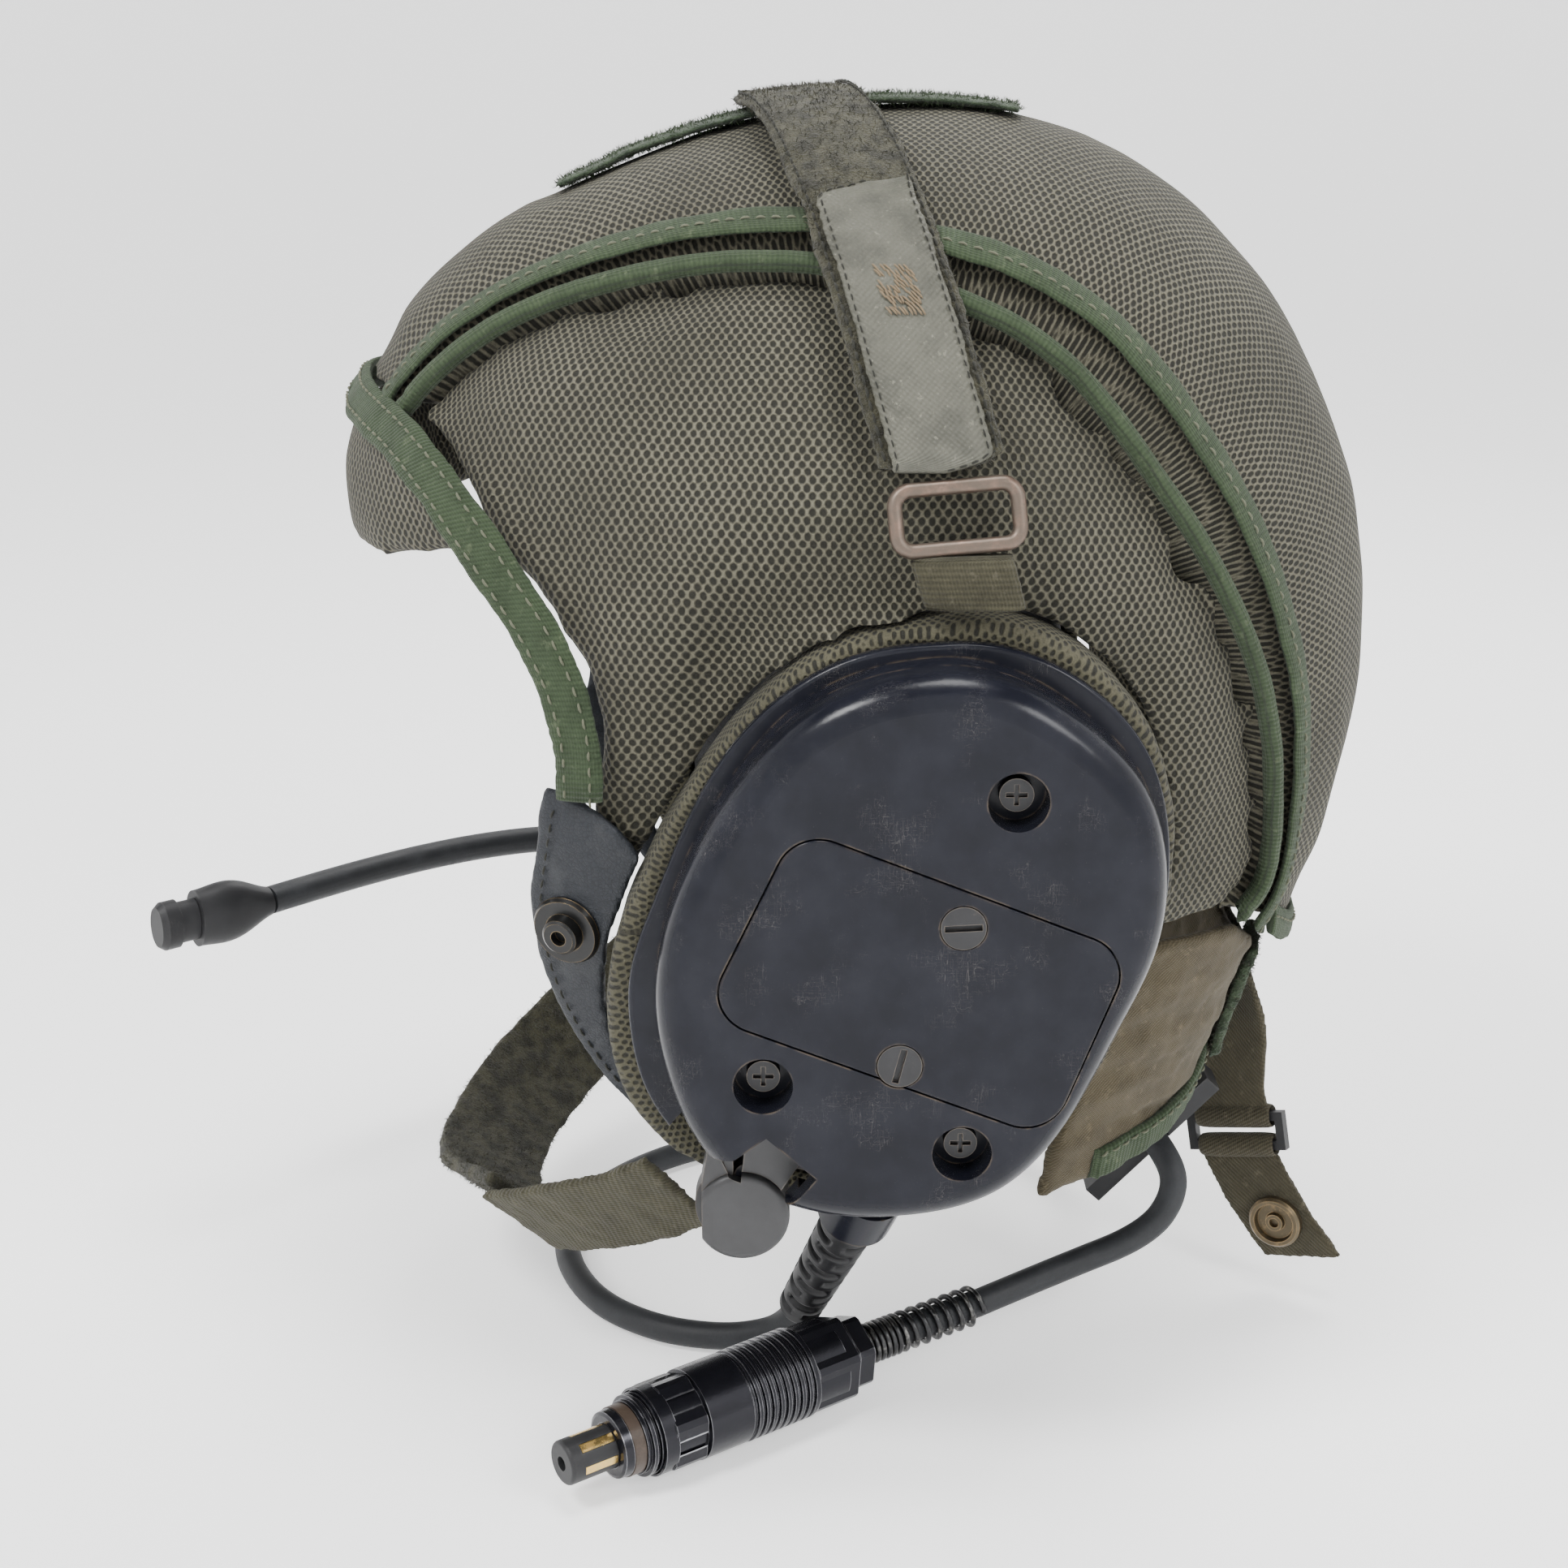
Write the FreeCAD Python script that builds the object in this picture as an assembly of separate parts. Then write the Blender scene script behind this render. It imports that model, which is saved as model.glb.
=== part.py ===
"""Crewman's radio headphones: a padded mesh head harness with two ear cups, a boom microphone,
a chin strap, a nape strap and a short lead that ends in a round probe connector.

Millimetres. +X is the wearer's left, +Y the back of the head, +Z up. The origin is the middle of
the head, on the line that joins the centres of the two ear cups.
"""
import FreeCAD
import Part
import math
import os
from FreeCAD import Vector as V

# ---- harness: the padded dome that the panels are cut from ----
DOME_CENTRE_Y, DOME_CENTRE_Z = -8.0, 45.0
DOME_HALF_WIDTH = 96.0
# distance from the dome's centre to the crown in the side view, every 30 degrees from the back over the top
CROWN_RADII = (114.2, 113.0, 114.2, 109.6, 112.0, 122.6, 124.0, 140.0, 165.0, 170.0, 150.0, 122.5)
SECTION_POWER = 2.0
SEAM_WIDEST_X = 72.0
SEAM_WIDEST_ANGLE = 40.0
SEAM_FRONT_X, SEAM_FRONT_ANGLE = 38.0, 154.0
SEAM_BACK_X, SEAM_BACK_ANGLE = 47.5, -33.6
# below this angle the seam turns outwards again, towards the ear, down to its end
SEAM_TURN_ANGLE, SEAM_END_ANGLE, SEAM_END_OUT = -29.0, -37.5, 5.5
PIPING_FRONT_ANGLE = 155.0
GORE_PROUD = 3.0
CROWN_PAD = 14.0
SIDE_PAD = 11.0
LINER_PAD = 5.0
SEAM_GAP = 0.2
SEAM_CORD = 2.2
SECTION_POINTS = 28

# ---- ear cups: distances out from the middle of the head ----
CUSHION_IN = 67.0
CUSHION_OUT = 83.4
BAFFLE_OUT = 86.4
SHELL_OUT = 103.0
LIP_IN = 94.4
LIP_OUT = 97.0
COVER_OUT = 113.0
CUP_WALL = 2.6
POCKET_IN = 77.0
POCKET_OUT = 93.6
COVER_ROUND = 6.5
SCREW_WELL_R = 6.0
SCREW_HEAD_R = 3.4
COVER_SCREW_AT = ((18.3, 28.8), (-31.2, -31.1), (9.0, -46.0))
COIN_SCREW_R = 4.5
COIN_SCREW_AT = ((8.2, 3.0), (-3.9, -26.5))
HATCH_DEPTH = 3.0
HATCH_GAP = 0.35
SWIVEL_Y, SWIVEL_Z = -34.5, -58.0
SWIVEL_DISC_AT = (-35.8, -66.2)
SWIVEL_DISC_R = 10.0
SWIVEL_R = 18.8
SWIVEL_IN, SWIVEL_OUT = 91.0, 102.4
SWIVEL_PIN_R, SWIVEL_BORE_R = 3.0, 3.06

# ---- boom microphone, on the right cup ----
BOOM_R = 3.6

# ---- straps ----
TOP_STRAP_W = 25.0
OVERLAY_W = 20.0
WEBBING_W = 20.0
STRAP_T = 2.0
STRAP_TOP_Y = -26.3
STRAP_BACK_PER_DEGREE = 0.475
RING_ANGLE = 69.2
RING_LONG, RING_SHORT, RING_CORNER = 12.1, 5.9, 3.2
RING_WIRE_R = 1.5
NAPE_TOP = V(-1.5, 83.5, -38.0)
NAPE_WIDTH_DIR = V(0.50, 0.83, 0.24)

# ---- lead and connector, lying on a table below the chin ----
TABLE_Z = -131.0
LEAD_R = 3.25
PLUG_R = 10.5
PLUG_TAIL = V(64.8, -10.8, TABLE_Z + PLUG_R + 0.5)
PLUG_TIP = V(111.0, -74.6, TABLE_Z + PLUG_R + 0.5)
# the probe: its free end, and the thinner root that is held in the barrel
PROBE_R, PROBE_FROM, PROBE_TO = 4.9, 67.0, 78.4
PROBE_ROOT_R, PROBE_ROOT_FROM = 4.6, 7.0
SPRING_TAIL = V(48.0, 19.0, -117.8)
BOOT_TOP = V(76.0, -11.0, -78.0)
BOOT_END = V(54.0, -23.5, -115.5)
CLIP_CENTRE = V(18.0, 60.0, -85.0)
# the lead's route from the boot round the neck, through the nape clip and down to the spring
LEAD_ROUTE = [
    (54.0, -23.5, -115.5), (50.6, -25.8, -121.4), (48.2, -32.0, -125.9), (47.2, -43.0, -127.6),
    (42.5, -59.0, -127.7), (29.0, -74.5, -127.7), (4.0, -84.0, -127.7), (-24.0, -80.5, -127.7),
    (-49.0, -60.0, -127.7), (-64.0, -27.0, -127.7), (-67.0, 8.0, -127.7), (-59.0, 39.0, -124.5),
    (-41.0, 56.0, -112.0), (-18.0, 59.0, -94.0), (7.0, 54.5, -81.0), (28.5, 65.5, -88.5),
    (32.5, 67.5, -96.5), (36.0, 60.5, -106.0), (39.0, 39.0, -113.8), (48.0, 19.0, -117.8),
]


def power_solve(value):
    """The radius at which value(radius) reaches 1, for a function that grows with it."""
    low, high = 0.0, 400.0
    for _ in range(60):
        middle = (low + high) / 2
        if value(middle) < 1:
            low = middle
        else:
            high = middle
    return high


def crown_radius(angle):
    """The crown's radius at an angle in the side view: a smooth closed curve through CROWN_RADII."""
    place = math.degrees(angle) / 30.0
    k = math.floor(place)
    t = place - k
    a, b, c, d = (CROWN_RADII[(k + j) % 12] for j in (-1, 0, 1, 2))
    return b + t * (c - a + t * (2 * a - 5 * b + 4 * c - d + t * (3 * (b - c) + d - a))) / 2


def dome_value(x, y, z, grow):
    """Below 1 inside the crown's outer surface, above 1 outside it."""
    y, z = y - DOME_CENTRE_Y, z - DOME_CENTRE_Z
    radius = crown_radius(math.atan2(z, y)) + grow
    share = math.hypot(y, z) / radius
    return abs(x / (DOME_HALF_WIDTH + grow)) ** SECTION_POWER + share ** SECTION_POWER


def dome_on_side(x, angle, grow):
    """The dome's point at a given x, at an angle in the side view from the back over the top."""
    share = 1 - abs(x / (DOME_HALF_WIDTH + grow)) ** SECTION_POWER
    r = (crown_radius(angle) + grow) * share ** (1 / SECTION_POWER)
    return V(x, DOME_CENTRE_Y + r * math.cos(angle), DOME_CENTRE_Z + r * math.sin(angle))


def dome_on_arch(y, angle, grow):
    """The dome's point at a given y, at an angle from the top towards the left ear."""
    c, s = math.cos(angle), math.sin(angle)
    r = power_solve(lambda k: dome_value(k * s, y, DOME_CENTRE_Z + k * c, grow))
    return V(r * s, y, DOME_CENTRE_Z + r * c)


def seam_x(angle):
    """How far out the seam between crown and side panel lies, at an angle in the side view."""
    turn = math.degrees(angle) - SEAM_WIDEST_ANGLE
    if turn > 0:
        share = (turn / (SEAM_FRONT_ANGLE - SEAM_WIDEST_ANGLE)) ** 1.5
        return SEAM_WIDEST_X - (SEAM_WIDEST_X - SEAM_FRONT_X) * share
    tail = max(0.0, SEAM_TURN_ANGLE - math.degrees(angle)) / (SEAM_TURN_ANGLE - SEAM_END_ANGLE)
    turn = max(turn, SEAM_TURN_ANGLE - SEAM_WIDEST_ANGLE)
    share = (turn / (SEAM_BACK_ANGLE - SEAM_WIDEST_ANGLE)) ** 2.1
    return SEAM_WIDEST_X - (SEAM_WIDEST_X - SEAM_BACK_X) * share + SEAM_END_OUT * tail ** 1.5


def dome_width(y, z, grow):
    """How far out the dome's side is at a place in the side view."""
    x = power_solve(lambda k: dome_value(k, y, z, grow))
    return V(x, y, z)


def dome_normal(p):
    step = 0.05
    here = dome_value(p.x, p.y, p.z, 0)
    n = V(dome_value(p.x + step, p.y, p.z, 0) - here, dome_value(p.x, p.y + step, p.z, 0) - here,
          dome_value(p.x, p.y, p.z + step, 0) - here)
    return n.normalize()


def closed_curve(points):
    curve = Part.BSplineCurve()
    curve.interpolate(Points=points, PeriodicFlag=True)
    return Part.Wire([curve.toShape()])


def open_curve(points):
    curve = Part.BSplineCurve()
    curve.interpolate(points)
    return curve.toShape()


def dome_slab(x_from, x_to, grow, count):
    """The solid dome between two x planes, through side sections of the dome."""
    wires = []
    for k in range(count):
        x = x_from + (x_to - x_from) * k / (count - 1)
        ring = [dome_on_side(x, 2 * math.pi * i / SECTION_POINTS, grow) for i in range(SECTION_POINTS)]
        wires.append(closed_curve(ring))
    return Part.makeLoft(wires, True, False)


def dome_shell(x_from, x_to, outer, inner, count):
    """A padded layer of the dome, from the grow value inner to outer."""
    solid = dome_slab(x_from, x_to, outer, count)
    return solid.cut(dome_slab(x_from - 0.01, x_to + 0.01, inner, count))


def side_prism(points, x_from, x_to, smooth=()):
    """A prism along X over an outline in the side view; smooth stretches are (first, last) index pairs."""
    flat = [V(x_from, y, z) for y, z in points]
    edges, k = [], 0
    while k < len(flat):
        run = next((last for first, last in smooth if first == k), None)
        if run is None:
            edges.append(Part.makeLine(flat[k], flat[(k + 1) % len(flat)]))
            k += 1
        else:
            edges.append(open_curve(flat[k:run + 1]))
            k = run
            if run == len(flat) - 1:
                edges.append(Part.makeLine(flat[run], flat[0]))
                k += 1
    return Part.Face(Part.Wire(edges)).extrude(V(x_to - x_from, 0, 0))


def cylinder_x(y, z, radius, x_from, x_to):
    return Part.makeCylinder(radius, x_to - x_from, V(x_from, y, z), V(1, 0, 0))


def mirrored(shape):
    return shape.mirror(V(0, 0, 0), V(1, 0, 0))


def ribbon(stations, width, thickness):
    """A flat strap through stations of (point, width direction, surface normal)."""
    wires = []
    for p, across, normal in stations:
        w = V(across).normalize() * (width / 2)
        n = V(normal).normalize() * (thickness / 2)
        corners = [p - w - n, p + w - n, p + w + n, p - w + n]
        wires.append(Part.makePolygon(corners + corners[:1]))
    return Part.makeLoft(wires, True, False)


def stations_along(points, normals):
    """Ribbon stations whose width lies square to the path, in the surface."""
    made = []
    for k, p in enumerate(points):
        before, after = points[max(k - 1, 0)], points[min(k + 1, len(points) - 1)]
        made.append((p, (after - before).cross(normals[k]), normals[k]))
    return made


def beam(points, radius):
    """A round bar through points, with square ends, as a loft of circles."""
    wires = []
    for k, p in enumerate(points):
        along = points[min(k + 1, len(points) - 1)] - points[max(k - 1, 0)]
        wires.append(Part.Wire([Part.makeCircle(radius, p, along)]))
    return Part.makeLoft(wires, True, False)


def turned_up(profile):
    """A body of revolution about +Z from (distance along, radius) pairs."""
    outline = [V(0, 0, profile[0][0])] + [V(r, 0, d) for d, r in profile] + [V(0, 0, profile[-1][0])]
    return Part.Face(Part.makePolygon(outline + outline[:1])).revolve(V(0, 0, 0), V(0, 0, 1), 360)


def turned(profile, start, along):
    """A body of revolution: profile is (distance along, radius) pairs from start towards along."""
    return placed(turned_up(profile), start, along)


def placed(shape, start, along):
    """Puts a shape built along +Z from the origin at start, pointing along."""
    moved = shape.copy()
    moved.Placement = FreeCAD.Placement(start, FreeCAD.Rotation(V(0, 0, 1), along)).multiply(moved.Placement)
    return moved


def rounded_tube(route, radius, label):
    """A cord's tube: straight runs joined by tangent arcs as large as the runs allow."""
    points = [V(*p) for p in route]
    edges, start, radii = [], points[0], []
    for before, corner, after in zip(points, points[1:], points[2:]):
        back, ahead = before - corner, after - corner
        turn = math.pi - back.getAngle(ahead)
        reach = 0.45 * min(back.Length, ahead.Length)
        radii.append(reach / math.tan(turn / 2))
        first = corner + back.normalize() * reach
        last = corner + ahead.normalize() * reach
        bisector = ((first + last) * 0.5 - corner).normalize()
        middle = corner + bisector * (radii[-1] / math.cos(turn / 2) - radii[-1])
        edges.append(Part.makeLine(start, first))
        edges.append(Part.Arc(first, middle, last).toShape())
        start = last
    edges.append(Part.makeLine(start, points[-1]))
    path = Part.Wire(edges)
    section = Part.Wire([Part.makeCircle(radius, points[0], points[1] - points[0])])
    tube = path.makePipeShell([section], True, False)
    expected = math.pi * radius ** 2 * path.Length
    print(label, "length", round(path.Length, 1), "radii", [round(r, 1) for r in radii],
          "volume ratio", round(tube.Volume / expected, 4))
    return tube


# ---------------------------------------------------------------- harness panels
BROW_EDGE = [(-150.0, 57.0), (-128.0, 57.0), (-112.0, 60.0), (-98.0, 64.0), (-86.5, 66.0)]
# the crown's lower edge at the back, from the seam's end to the middle, in the side view
REAR_LINE = [(69.0, -18.5), (77.0, -20.0), (85.0, -26.0), (90.0, -31.5), (96.0, -37.0)]
CROWN_WEDGE_ANGLES = [-60.0 + 7.5 * k for k in range(33)]
WEDGE_IN, WEDGE_OUT = 8.0, 210.0


def crown_wedge(grow):
    """Everything between the two seams, out from the dome's axis, all the way over the head."""
    wires = []
    for degrees in CROWN_WEDGE_ANGLES:
        angle = math.radians(degrees)
        half = seam_x(max(min(angle, math.radians(SEAM_FRONT_ANGLE)), math.radians(SEAM_END_ANGLE))) + grow
        corners = [V(x, DOME_CENTRE_Y + r * math.cos(angle), DOME_CENTRE_Z + r * math.sin(angle))
                   for x, r in ((-half, WEDGE_IN), (half, WEDGE_IN), (half, WEDGE_OUT), (-half, WEDGE_OUT))]
        wires.append(Part.makePolygon(corners + corners[:1]))
    return Part.makeLoft(wires, True, False)


def crown_panel():
    shell = dome_shell(-76, 76, 0, -CROWN_PAD, 9).common(crown_wedge(-SEAM_GAP))
    keep = [(-150.0, 93.0), (-112.0, 92.5), (-94.0, 89.0), (0.0, 60.0), (60.0, -4.0)]
    keep += REAR_LINE + [(150.0, -37.0), (150.0, 200.0), (-150.0, 200.0)]
    shell = shell.common(side_prism(keep, -100, 100))
    for pocket in (pocket_block(0.4, 40, 130), mirrored(pocket_block(0.4, 40, 130))):
        shell = shell.cut(pocket)
    return largest(shell)


def largest(shape):
    return max(shape.Solids, key=lambda s: s.Volume)


def side_panel():
    start = SEAM_FRONT_X - 4
    outer = dome_slab(start, DOME_HALF_WIDTH - GORE_PROUD - 0.8, -GORE_PROUD, 11)
    inner = dome_slab(start - 0.01, DOME_HALF_WIDTH - GORE_PROUD - SIDE_PAD - 0.8, -GORE_PROUD - SIDE_PAD, 9)
    keep = [(-150.0, 93.0), (-112.0, 92.0), (-98.0, 86.5), (-86.0, 69.0), (-74.0, 53.0), (-67.0, 39.0),
            (-67.0, 22.0), (-68.0, 6.0), (-62.0, -8.0), (-50.0, -17.0), (40.0, -17.0), (62.0, -16.5), (77.0, -20.0),
            (150.0, -20.0), (150.0, 200.0), (-150.0, 200.0)]
    shell = outer.cut(inner).common(side_prism(keep, 40, 120, smooth=((1, 9),)))
    return largest(shell.cut(crown_wedge(SEAM_GAP)).cut(pocket_block(0.4, 40, 130)))


def ellipse_slab(half_x, half_y, z, count):
    ring = [V(half_x * math.cos(2 * math.pi * k / count), half_y * math.sin(2 * math.pi * k / count), z)
            for k in range(count)]
    return closed_curve(ring)


def brow_pad():
    """The padded brow: an upright band across the forehead, round at its lower and upper edges."""
    heights = ((54.0, -6.0), (59.0, -1.5), (66.0, 0.0), (78.0, 0.0), (86.0, -3.0), (94.0, -8.5))
    outer = Part.makeLoft([ellipse_slab(89 + g, 128.5 + g, z, 20) for z, g in heights], True, False)
    inner = Part.makeLoft([ellipse_slab(77.0, 116.5, z, 20) for z in (53.0, 74.0, 95.0)], True, False)
    top = [(-99.5, 85.0), (-112.0, 91.0), (-150.0, 91.5)]
    return largest(outer.cut(inner).common(side_prism(BROW_EDGE + top, -100, 100)))


FLAP_UPPER = [(0, 80.0, -34.0), (24, 80.0, -33.0), (44, 77.5, -24.0), (58, 66.5, -18.6), (69, 46.0, -18.8)]
FLAP_LOWER = [(0, 70.0, -60.0), (22, 69.0, -64.5), (42, 61.5, -71.0), (57, 45.0, -77.0), (65, 30.0, -80.0)]


def nape_flap():
    """The twill flap below the harness that covers the nape, from ear to ear."""
    half = [(V(*u), V(*w)) for u, w in zip(FLAP_UPPER, FLAP_LOWER)]
    rows = [(V(-u.x, u.y, u.z), V(-w.x, w.y, w.z)) for u, w in reversed(half[1:])] + half
    wires = []
    for k, (u, w) in enumerate(rows):
        before, after = rows[max(k - 1, 0)][0], rows[min(k + 1, len(rows) - 1)][0]
        n = (w - u).cross(after - before).normalize() * 1.8
        wires.append(Part.makePolygon([u + n, w + n, w - n, u - n, u + n]))
    flap = Part.makeLoft(wires, True, False)
    for side in (pocket_block(0.4, 40, 130), mirrored(pocket_block(0.4, 40, 130))):
        flap = flap.cut(side)
    return largest(flap)


def liner_pads():
    """Soft pads inside the crown, at the front, the top and the back."""
    shell = dome_shell(-60, 60, -CROWN_PAD - 0.4, -CROWN_PAD - LINER_PAD, 7)
    front = shell.common(Part.makeBox(70, 30, 30, V(-35, -115, 93)))
    back = shell.common(Part.makeBox(70, 60, 52, V(-35, 60, 8)))
    top = shell.common(Part.makeBox(60, 70, 60, V(-30, -40, 100)))
    return Part.makeCompound([s for p in (front, back, top) for s in p.Solids])


def seam_piping():
    """The two bindings of one side seam: a flat lip on the crown's edge, a round cord on the panel's."""
    count = 23
    cord, lip, normals = [], [], []
    for k in range(count):
        angle = math.radians(PIPING_FRONT_ANGLE + (SEAM_END_ANGLE - PIPING_FRONT_ANGLE) * k / (count - 1))
        out = 3.2 + 1.0 * math.sin(math.pi * k / (count - 1))
        cord.append(dome_on_side(seam_x(angle) + out, angle, -GORE_PROUD + SEAM_CORD + 0.5))
        at = dome_on_side(seam_x(angle) - 3.0, angle, 1.2)
        lip.append(at)
        normals.append(dome_normal(at))
    return Part.makeCompound([beam(cord, SEAM_CORD), ribbon(stations_along(lip, normals), 6.0, 1.5)])


FACE_TAPE = [(84.0, -68.0, 24.0), (84.6, -68.4, 34.0), (83.4, -71.0, 44.0), (80.0, -76.5, 55.0),
             (72.5, -87.5, 70.0), (61.0, -98.0, 81.5), (45.0, -108.0, 88.3), (25.0, -117.0, 91.0),
             (0.0, -120.8, 92.0)]
REAR_TAPE_W, REAR_TAPE_T = 7.0, 1.8
REAR_TAPE_PROUD = 1.2


def face_binding():
    """Green binding tape along the face opening, from one cheek over the brow to the other."""
    half = [V(*p) for p in FACE_TAPE]
    points = half + [V(-p.x, p.y, p.z) for p in reversed(half[:-1])]
    normals = [dome_normal(p) for p in points]
    lifted = [p + n * 2.6 for p, n in zip(points, normals)]
    return ribbon(stations_along(lifted, normals), 10.0, 2.2)


def rear_height(y):
    """The height of the crown's lower edge at the back, at a place in the side view."""
    for (y0, z0), (y1, z1) in zip(REAR_LINE, REAR_LINE[1:]):
        if y <= y1:
            break
    return z0 + (z1 - z0) * (y - y0) / (y1 - y0)


def rear_edge(x, lift):
    """The place on the dome where the crown's lower edge crosses a given x, raised by lift."""
    low, high = math.radians(-55), math.radians(-10)
    for _ in range(40):
        middle = (low + high) / 2
        place = dome_on_side(x, middle, REAR_TAPE_PROUD)
        if place.z > rear_height(place.y) + lift:
            high = middle
        else:
            low = middle
    return dome_on_side(x, high, REAR_TAPE_PROUD)


def rear_binding():
    """Green binding tape along the crown's lower edge at the back, from seam to seam."""
    points = [rear_edge(x, REAR_TAPE_W / 2 - 0.5) for x in (50.0, 42.0, 33.0, 22.0, 11.0, 0.0)]
    points += [V(-p.x, p.y, p.z) for p in reversed(points[:-1])]
    return ribbon(stations_along(points, [dome_normal(p) for p in points]), REAR_TAPE_W, REAR_TAPE_T)


def crest_strip():
    """Fastener tape along the top of the crown, under the top strap."""
    points = [dome_on_side(0, math.radians(a), 1.0) for a in (127, 119, 111, 103, 95, 87, 79, 73)]
    return ribbon([(p, V(1, 0, 0), dome_normal(p)) for p in points], 24.0, 1.6)


def strap_line(angle):
    """Where the top strap runs, from the crown down to the ear cup: its y at an angle from the top."""
    return STRAP_TOP_Y + STRAP_BACK_PER_DEGREE * abs(math.degrees(angle))


def strap_stations(angles, grow):
    points = [dome_on_arch(strap_line(a), a, grow) for a in angles]
    return stations_along(points, [dome_normal(p) for p in points])


def spread(first, last, count):
    return [math.radians(first + (last - first) * k / (count - 1)) for k in range(count)]


def top_strap():
    return ribbon(strap_stations(spread(-64.4, 64.4, 25), 3.6), TOP_STRAP_W, STRAP_T)


def strap_overlays():
    """The smooth hook tapes that cover the strap's lower stretch on each side."""
    left = ribbon(strap_stations(spread(30.5, 64.6, 9), 5.6), OVERLAY_W, 1.5)
    return Part.makeCompound([left, mirrored(left)])


def ring_frame():
    """The left ring's middle, its long direction, its down direction and its normal."""
    angle = math.radians(RING_ANGLE)
    p = dome_on_arch(strap_line(angle), angle, 4.2)
    n = dome_normal(p)
    across = V(0, 1, 0.1)
    across = (across - n * across.dot(n)).normalize()
    return p, across, across.cross(n).normalize(), n


def strap_ring():
    """A rectangular wire ring, with rounded corners."""
    p, across, down, _ = ring_frame()
    points = []
    for su, sv, first in ((1, 1, 0), (-1, 1, 90), (-1, -1, 180), (1, -1, 270)):
        for step in (0, 45, 90):
            a = math.radians(first + step)
            u = su * (RING_LONG - RING_CORNER) + RING_CORNER * math.cos(a)
            v = sv * (RING_SHORT - RING_CORNER) + RING_CORNER * math.sin(a)
            points.append(p + across * u + down * v)
    start = (points[11] + points[0]) * 0.5
    edges = [Part.makeLine(start, points[0])]
    for k in range(4):
        a, b, c = points[3 * k:3 * k + 3]
        edges.append(Part.Arc(a, b, c).toShape())
        edges.append(Part.makeLine(c, points[3 * k + 3] if k < 3 else start))
    section = Part.Wire([Part.makeCircle(RING_WIRE_R, start, points[0] - start)])
    return Part.Wire(edges).makePipeShell([section], True, False)


def cup_straps():
    """The elastic loops from each ring's lower bar to the ear pocket."""
    p, across, down, n = ring_frame()
    top = p + down * (RING_SHORT + RING_WIRE_R + 0.1)
    low = V(POCKET_OUT + 1.3, 10.5, 62.0)
    low_normal = V(0.97, 0, 0.24)
    middle = (top + low) * 0.5 + n * 0.5
    left = ribbon([(top, across, n), (middle, across, n + low_normal), (low, V(0, 1, 0), low_normal)],
                  WEBBING_W, 2.4)
    return Part.makeCompound([left, mirrored(left)])


# ---------------------------------------------------------------- ear cups
CUP_OUTLINE = [(2, 53.5), (17, 51.5), (31.5, 43), (43, 31), (48, 17), (46.5, -6), (40.5, -20.5), (29, -44),
               (18, -56), (-3, -62.5), (-26, -60), (-43, -48), (-50.5, -31), (-52.8, -12), (-49.3, 5),
               (-38, 28), (-23, 45), (-11, 51)]
LIP_OUTLINE = [(6, 56.2), (21, 54), (35, 46), (45.5, 33.5), (50.3, 17), (48.8, -7), (43, -22), (31.5, -45.5),
               (20, -58.5), (-4, -65.5), (-28, -63.5), (-47.5, -52), (-55.5, -40), (-58.8, -25),
               (-58.6, -14), (-53.5, 2), (-41.5, 29), (-26, 46.5), (-12, 53.8)]
POCKET_OUTLINE = [(7, 60), (22, 58.5), (35, 51.5), (46, 39), (52.5, 20), (52, -4), (46, -23), (34.5, -47.5),
                  (22, -61.5), (-4, -69), (-30, -67), (-50, -58), (-59, -47), (-64, -33), (-64, -15),
                  (-58.5, 2), (-41, 33.5), (-28, 47.5), (-13, 56.3)]
HATCH_OUTLINE = [(-24.5, 23.5), (41.5, -2.5), (26.5, -42.5), (-43.0, -15.5)]
HATCH_CORNER = 8.5


def grown(outline, grow):
    """The outline's points moved out square to it."""
    made = []
    for k, (y, z) in enumerate(outline):
        y0, z0 = outline[k - 1]
        y1, z1 = outline[(k + 1) % len(outline)]
        length = math.hypot(y1 - y0, z1 - z0)
        made.append((y + grow * -(z1 - z0) / length, z + grow * (y1 - y0) / length))
    return made


def outline_block(outline, grow, x_from, x_to):
    wire = closed_curve([V(x_from, y, z) for y, z in grown(outline, grow)])
    return Part.Face(wire).extrude(V(x_to - x_from, 0, 0))


def cup_block(grow, x_from, x_to):
    return outline_block(CUP_OUTLINE, grow, x_from, x_to)


def pocket_block(grow, x_from, x_to):
    return outline_block(POCKET_OUTLINE, grow, x_from, x_to)


def rim_edges(solid, x):
    """The edges that lie in one x plane."""
    return [e for e in solid.Edges if abs(e.BoundBox.XMin - x) < 1e-3 and abs(e.BoundBox.XMax - x) < 1e-3]


def swivel_pocket(gap, x_from, x_to):
    return cylinder_x(SWIVEL_Y, SWIVEL_Z, SWIVEL_R + gap, x_from, x_to)


def ear_pocket():
    """The padded mesh ring that holds the cup in the harness."""
    ring = pocket_block(0, POCKET_IN, POCKET_OUT)
    ring = ring.makeFillet(3.2, rim_edges(ring, POCKET_OUT))
    ring = ring.cut(cup_block(0.35, POCKET_IN - 1, POCKET_OUT + 1))
    ring = ring.cut(cylinder_x(SWIVEL_Y, SWIVEL_Z, SWIVEL_R + 1.2, SWIVEL_IN - 0.6, POCKET_OUT + 1))
    return ring.cut(boot_channel())


def boot_channel():
    """Room for the lead's gland under the cup."""
    return Part.makeCylinder(9.6, 40, BOOT_TOP + (BOOT_TOP - BOOT_END).normalize() * 14, BOOT_END - BOOT_TOP)


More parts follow.
